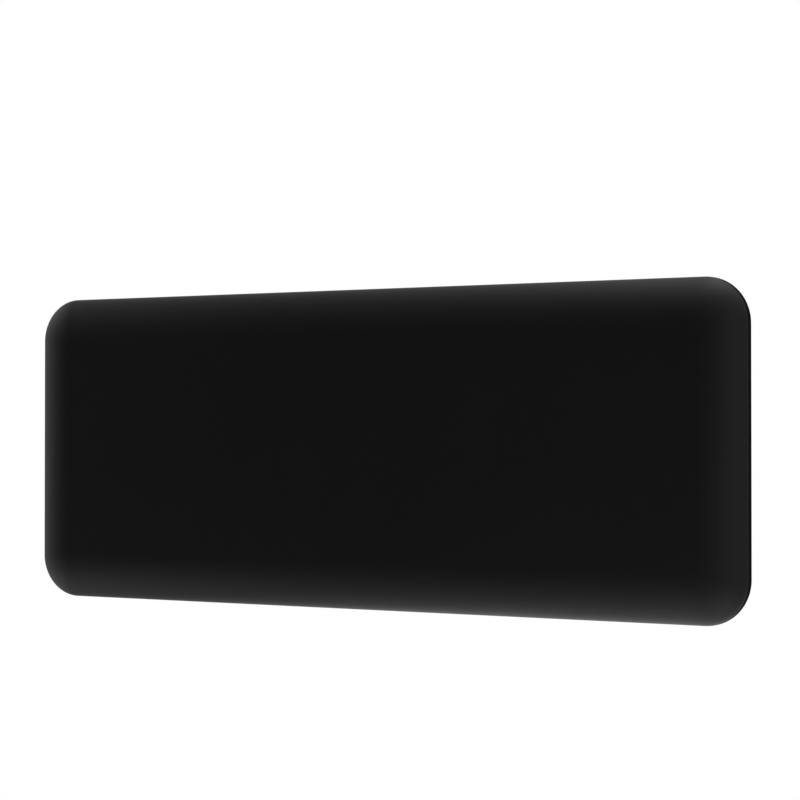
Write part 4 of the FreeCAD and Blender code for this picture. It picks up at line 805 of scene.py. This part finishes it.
# Casing screws: pan heads with a cross recess
screwLook = {
    "head": 0.0036,
    "headHeight": 0.0022,
    "shank": 0.0016,
    "length": 0.008,
    "slot": 0.0009,
    "slotReach": 0.0021,
    "slotFloor": 0.35,
    "headSides": 36,
    "headRound": 0.6,
    "headSteps": 6,
    "tipShare": 0.15,
    "tipScale": 0.35,
    "groupReach": 0.014,  # vertices closer than this are of one screw
}


def casingScrews():
    boxes = groupBoxes("casing_screws", screwLook["groupReach"])
    top = screwLook["headHeight"]
    restSelection()
    bpy.ops.mesh.primitive_cylinder_add(
        vertices=screwLook["headSides"],
        radius=screwLook["head"],
        depth=top,
        location=(0, 0, top / 2),
    )
    piece = named("casingScrews")
    pick(piece, "edges", lambda edge: min(edge.verts[0].co.z, edge.verts[1].co.z) > top * 0.9)
    bpy.ops.mesh.bevel(
        offset=top * screwLook["headRound"],
        affect="EDGES",
        segments=screwLook["headSteps"],
        profile=0.55,
    )
    pick(piece, "faces", lambda face: face.normal.z < -0.9)
    bpy.ops.mesh.inset(thickness=screwLook["head"] - screwLook["shank"])
    tip = screwLook["length"] * screwLook["tipShare"]
    narrow = screwLook["tipScale"]
    bpy.ops.mesh.extrude_region_move(TRANSFORM_OT_translate={"value": (0, 0, tip - screwLook["length"])})
    bpy.ops.mesh.extrude_region_move(TRANSFORM_OT_translate={"value": (0, 0, -tip)})
    bpy.ops.transform.resize(value=(narrow, narrow, 1), center_override=(0, 0, -screwLook["length"]))
    bpy.ops.object.mode_set(mode="OBJECT")
    floor = Vector((0, 0, top * screwLook["slotFloor"]))
    cutter = crossSheet("recessCutter", screwLook["slot"], screwLook["slotReach"], floor)
    bpy.ops.mesh.select_all(action="SELECT")
    bpy.ops.mesh.extrude_region_move(TRANSFORM_OT_translate={"value": (0, 0, top)})
    recalculated()
    restSelection()
    piece.select_set(True)
    bpy.context.view_layer.objects.active = piece
    withModifier(piece, "BOOLEAN", {"operation": "DIFFERENCE", "object": cutter, "solver": "EXACT"})
    smoothed(degrees=35)
    bpy.data.objects.remove(cutter)
    places = [((low[0] + high[0]) / 2, high[1] - top, (low[2] + high[2]) / 2) for low, high in boxes]
    whole = repeated(piece, places, (math.radians(-90), 0, 0))
    whole.data.materials.append(finishOf["zinc_plate"])
    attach(whole, "heater")
    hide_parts("casing_screws")
    print("casing screws copied:", len(places))


# Mains lead bush: flange, ribbed sleeve and bore
bushLook = {
    "neck": 0.006,
    "flange": 0.009,
    "flangeHeight": 0.003,
    "sleeveLength": 0.012,
    "bore": 0.0037,
    "rib": 0.0063,
    "ribTaper": 0.00018,
    "groove": 0.0051,
    "ribs": 5,
    "lip": 0.0005,
    "sides": 48,
}


def leadBush():
    low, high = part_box("cable_gland")
    axis = ((low[0] + high[0]) / 2, (low[1] + high[1]) / 2, 0)
    flangeLow = low[2] + bushLook["sleeveLength"]
    flangeTop = flangeLow + bushLook["flangeHeight"]
    lip = bushLook["lip"]
    rings = [(high[2], bushLook["neck"] - lip), (high[2] - lip, bushLook["neck"])]
    rings += [(flangeTop, bushLook["neck"]), (flangeTop, bushLook["flange"] - lip / 2)]
    rings += [(flangeTop - lip / 2, bushLook["flange"]), (flangeLow + lip, bushLook["flange"])]
    rings += [(flangeLow, bushLook["flange"] - lip), (flangeLow, bushLook["groove"])]
    pitch = (flangeLow - low[2]) / (bushLook["ribs"] + 0.5)
    for index in range(bushLook["ribs"]):
        top = flangeLow - pitch * (index + 0.5)
        rib = bushLook["rib"] - bushLook["ribTaper"] * index
        bottom = top - pitch * 0.5
        rings += [(top, bushLook["groove"]), (top - lip / 2, rib), (bottom, rib)]
        rings += [(bottom - lip / 2, bushLook["groove"])]
    rings += [(low[2], bushLook["groove"]), (low[2], bushLook["bore"] + lip)]
    rings += [(low[2] + lip, bushLook["bore"]), (high[2], bushLook["bore"])]
    piece = turned("leadBush", axis, rings, bushLook["sides"])
    smoothed(degrees=32)
    piece.data.materials.append(finishOf["black_moulding"])
    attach(piece, "heater")
    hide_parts("cable_gland")


buttonSigns()
litFigures()
rockerSigns()
casingScrews()
leadBush()
print("signs, figures, screws and bush are made")


# Floor, light and camera

stageLook = {
    "floorZ": -0.75,
    "floorRadius": 2.0,
    "floorSides": 96,
    "floorInset": 0.4,
    "fadeFrom": 0.45,
    "fadeTo": 0.98,
    "floorColour": (0.88, 0.88, 0.87),
    "ambient": 0.45,
    "screenRadius": 5.0,
    "screenFrom": -0.6,
    "feltColour": (0.005, 0.005, 0.005),
    "cardRound": 0.3,
    "cards": {
        "rightScreen": ((1.75, 2.9, 0), (2.0, 2.6)),
        "leftScreen": ((-1.9, 1.3, 0), (1.2, 1.1)),
    },
}


def floorSheet():
    restSelection()
    radius = stageLook["floorRadius"]
    place = (0, 0, stageLook["floorZ"])
    bpy.ops.mesh.primitive_circle_add(
        vertices=stageLook["floorSides"], radius=radius, fill_type="NGON", location=place
    )
    piece = named("floorSheet")
    bpy.ops.mesh.select_all(action="SELECT")
    bpy.ops.mesh.inset(thickness=radius * stageLook["floorInset"])
    bpy.ops.object.mode_set(mode="OBJECT")
    finish = newFinish("floorPaper")
    fibre = finish.noise(scale=60.0, detail=4.0)
    light = stageLook["floorColour"]
    dark = tuple(0.97 * part for part in light)
    paper = finish.node(
        "ShaderNodeBsdfPrincipled", {}, {"Base Color": finish.tint(fibre, dark, light), "Roughness": 0.9}
    )
    reach = finish.node("ShaderNodeVectorMath", {"operation": "LENGTH"}, {0: finish.place()}, "Value")
    fadeStart = radius * stageLook["fadeFrom"]
    fadeEnd = radius * stageLook["fadeTo"]
    fade = finish.node(
        "ShaderNodeMapRange",
        {"interpolation_type": "SMOOTHSTEP"},
        {"Value": reach, "From Min": fadeStart, "From Max": fadeEnd},
    )
    clear = finish.node("ShaderNodeBsdfTransparent", {}, {})
    mixed = finish.node("ShaderNodeMixShader", {}, {0: fade, 1: paper, 2: clear})
    finish.node("ShaderNodeOutputMaterial", {}, {"Surface": mixed})
    piece.data.materials.append(finish.owner)


def glossOnly(piece, felt):
    # a dark screen that only gloss sees
    bpy.ops.object.mode_set(mode="OBJECT")
    piece.data.materials.append(felt)
    piece.visible_camera = False
    piece.visible_diffuse = False
    piece.visible_shadow = False
    piece.visible_transmission = False


def darkScreens():
    finish = newFinish("screenFelt")
    nap = finish.noise(scale=40.0, detail=3.0)
    felt = finish.surface({
        "Base Color": between(finish, nap, stageLook["feltColour"], spread=0.2),
        "Roughness": 1.0,
        "Specular IOR Level": 0.0,
    })
    restSelection()
    bpy.ops.mesh.primitive_uv_sphere_add(segments=48, ring_count=24, radius=stageLook["screenRadius"])
    dome = named("frontScreen")
    bpy.ops.mesh.select_all(action="SELECT")
    bpy.ops.mesh.bisect(plane_co=(0, stageLook["screenFrom"], 0), plane_no=(0, 1, 0), clear_outer=True)
    bpy.ops.mesh.select_all(action="SELECT")
    bpy.ops.mesh.flip_normals()
    glossOnly(dome, felt)
    for name, (place, size) in stageLook["cards"].items():
        turn = Vector(place).to_track_quat("Z", "Y").to_euler()
        card = startPlane(name, *size, place, turn)
        bpy.ops.mesh.select_all(action="SELECT")
        bpy.ops.mesh.bevel(offset=stageLook["cardRound"], affect="VERTICES", segments=5, profile=0.5)
        glossOnly(card, felt)


def paleRoom():
    world = bpy.data.worlds.new("paleRoom")
    bpy.context.scene.world = world
    room = Finish(world)
    path = room.node("ShaderNodeLightPath", {}, {}, "Is Camera Ray")
    glossy = Sock(room, path.socket.node.outputs["Is Glossy Ray"])
    through = Sock(room, path.socket.node.outputs["Is Transmission Ray"])
    strength = stageLook["ambient"] + (1 - stageLook["ambient"]) * path.maths(
        "MAXIMUM", path, glossy.maths("MAXIMUM", glossy, through)
    )
    light = room.node("ShaderNodeBackground", {}, {"Color": (1, 1, 1, 1), "Strength": strength})
    room.node("ShaderNodeOutputWorld", {}, {"Surface": light})


lampLook = {
    "overhead": {"place": (0.35, -0.15, 1.75), "aim": (0, -0.05, 0), "size": (1.8, 1.2), "power": 44},
    "leftSide": {"place": (-2.15, -0.55, 0.1), "aim": (0, -0.05, 0), "size": (2.2, 1.6), "power": 4.5},
    "rightFront": {"place": (2.0, -1.3, 0.25), "aim": (0, -0.05, 0), "size": (1.2, 1.2), "power": 17},
    "lowLeft": {"place": (-1.4, -0.27, -0.7), "size": (0.9, 0.6), "power": 5.5},
    "lowRight": {"place": (0.05, 0.1, -0.7), "size": (0.9, 0.8), "power": 5},
    "lowCorner": {"place": (0.72, -0.42, -0.7), "size": (0.6, 0.6), "power": 4.6},
    "upperLeft": {
        "place": (-1.5, -0.15, 0.75), "aim": (-0.45, -0.05, 0.1), "size": (0.8, 0.6), "power": 2.8
    },
    "upperRight": {
        "place": (1.2, -0.22, 1.1), "aim": (0.45, -0.05, 0.15), "size": (0.8, 0.6), "power": 2.8
    },
    "lowBack": {"place": (0.1, 0.8, -0.7), "size": (1.8, 0.9), "power": 5},
}


def studioLamps():
    for name, look in lampLook.items():
        restSelection()
        bpy.ops.object.light_add(type="AREA", location=look["place"])
        lamp = bpy.context.object
        lamp.name = name
        lamp.data.shape = "RECTANGLE"
        lamp.data.size = look["size"][0]
        lamp.data.size_y = look["size"][1]
        lamp.data.energy = look["power"]
        # a lamp with no aim faces straight up
        way = Vector(look["aim"]) - Vector(look["place"]) if "aim" in look else Vector((0, 0, 1))
        lamp.rotation_euler = way.to_track_quat("-Z", "Y").to_euler()
        lamp.visible_camera = False


cameraLook = {
    "yaw": 31.004,
    "pitch": -0.754,
    "distance": 2.4812,
    "middle": (0, -0.060, 0),
    "shiftRight": 0.03942,
    "shiftUp": 0.05414,
    "lens": 101.79,
    "sensor": 36,
    "farEnd": 50,
}


def photoCamera():
    yaw = math.radians(cameraLook["yaw"])
    pitch = math.radians(cameraLook["pitch"])
    right = Vector((math.cos(yaw), math.sin(yaw), 0))
    level = Vector((-math.sin(yaw), math.cos(yaw), 0))
    forward = level * math.cos(pitch) - Vector((0, 0, math.sin(pitch)))
    up = right.cross(forward)
    spot = Vector(cameraLook["middle"]) - cameraLook["distance"] * forward
    spot += cameraLook["shiftRight"] * right + cameraLook["shiftUp"] * up
    restSelection()
    bpy.ops.object.camera_add(location=spot)
    camera = bpy.context.object
    camera.name = "photoCamera"
    camera.rotation_euler = forward.to_track_quat("-Z", "Y").to_euler()
    camera.data.sensor_width = cameraLook["sensor"]
    camera.data.lens = cameraLook["lens"]
    camera.data.clip_end = cameraLook["farEnd"]
    bpy.context.scene.camera = camera


floorSheet()
darkScreens()
paleRoom()
studioLamps()
photoCamera()
bpy.context.scene.view_settings.view_transform = "Standard"
print("stage, lamps and camera are set")
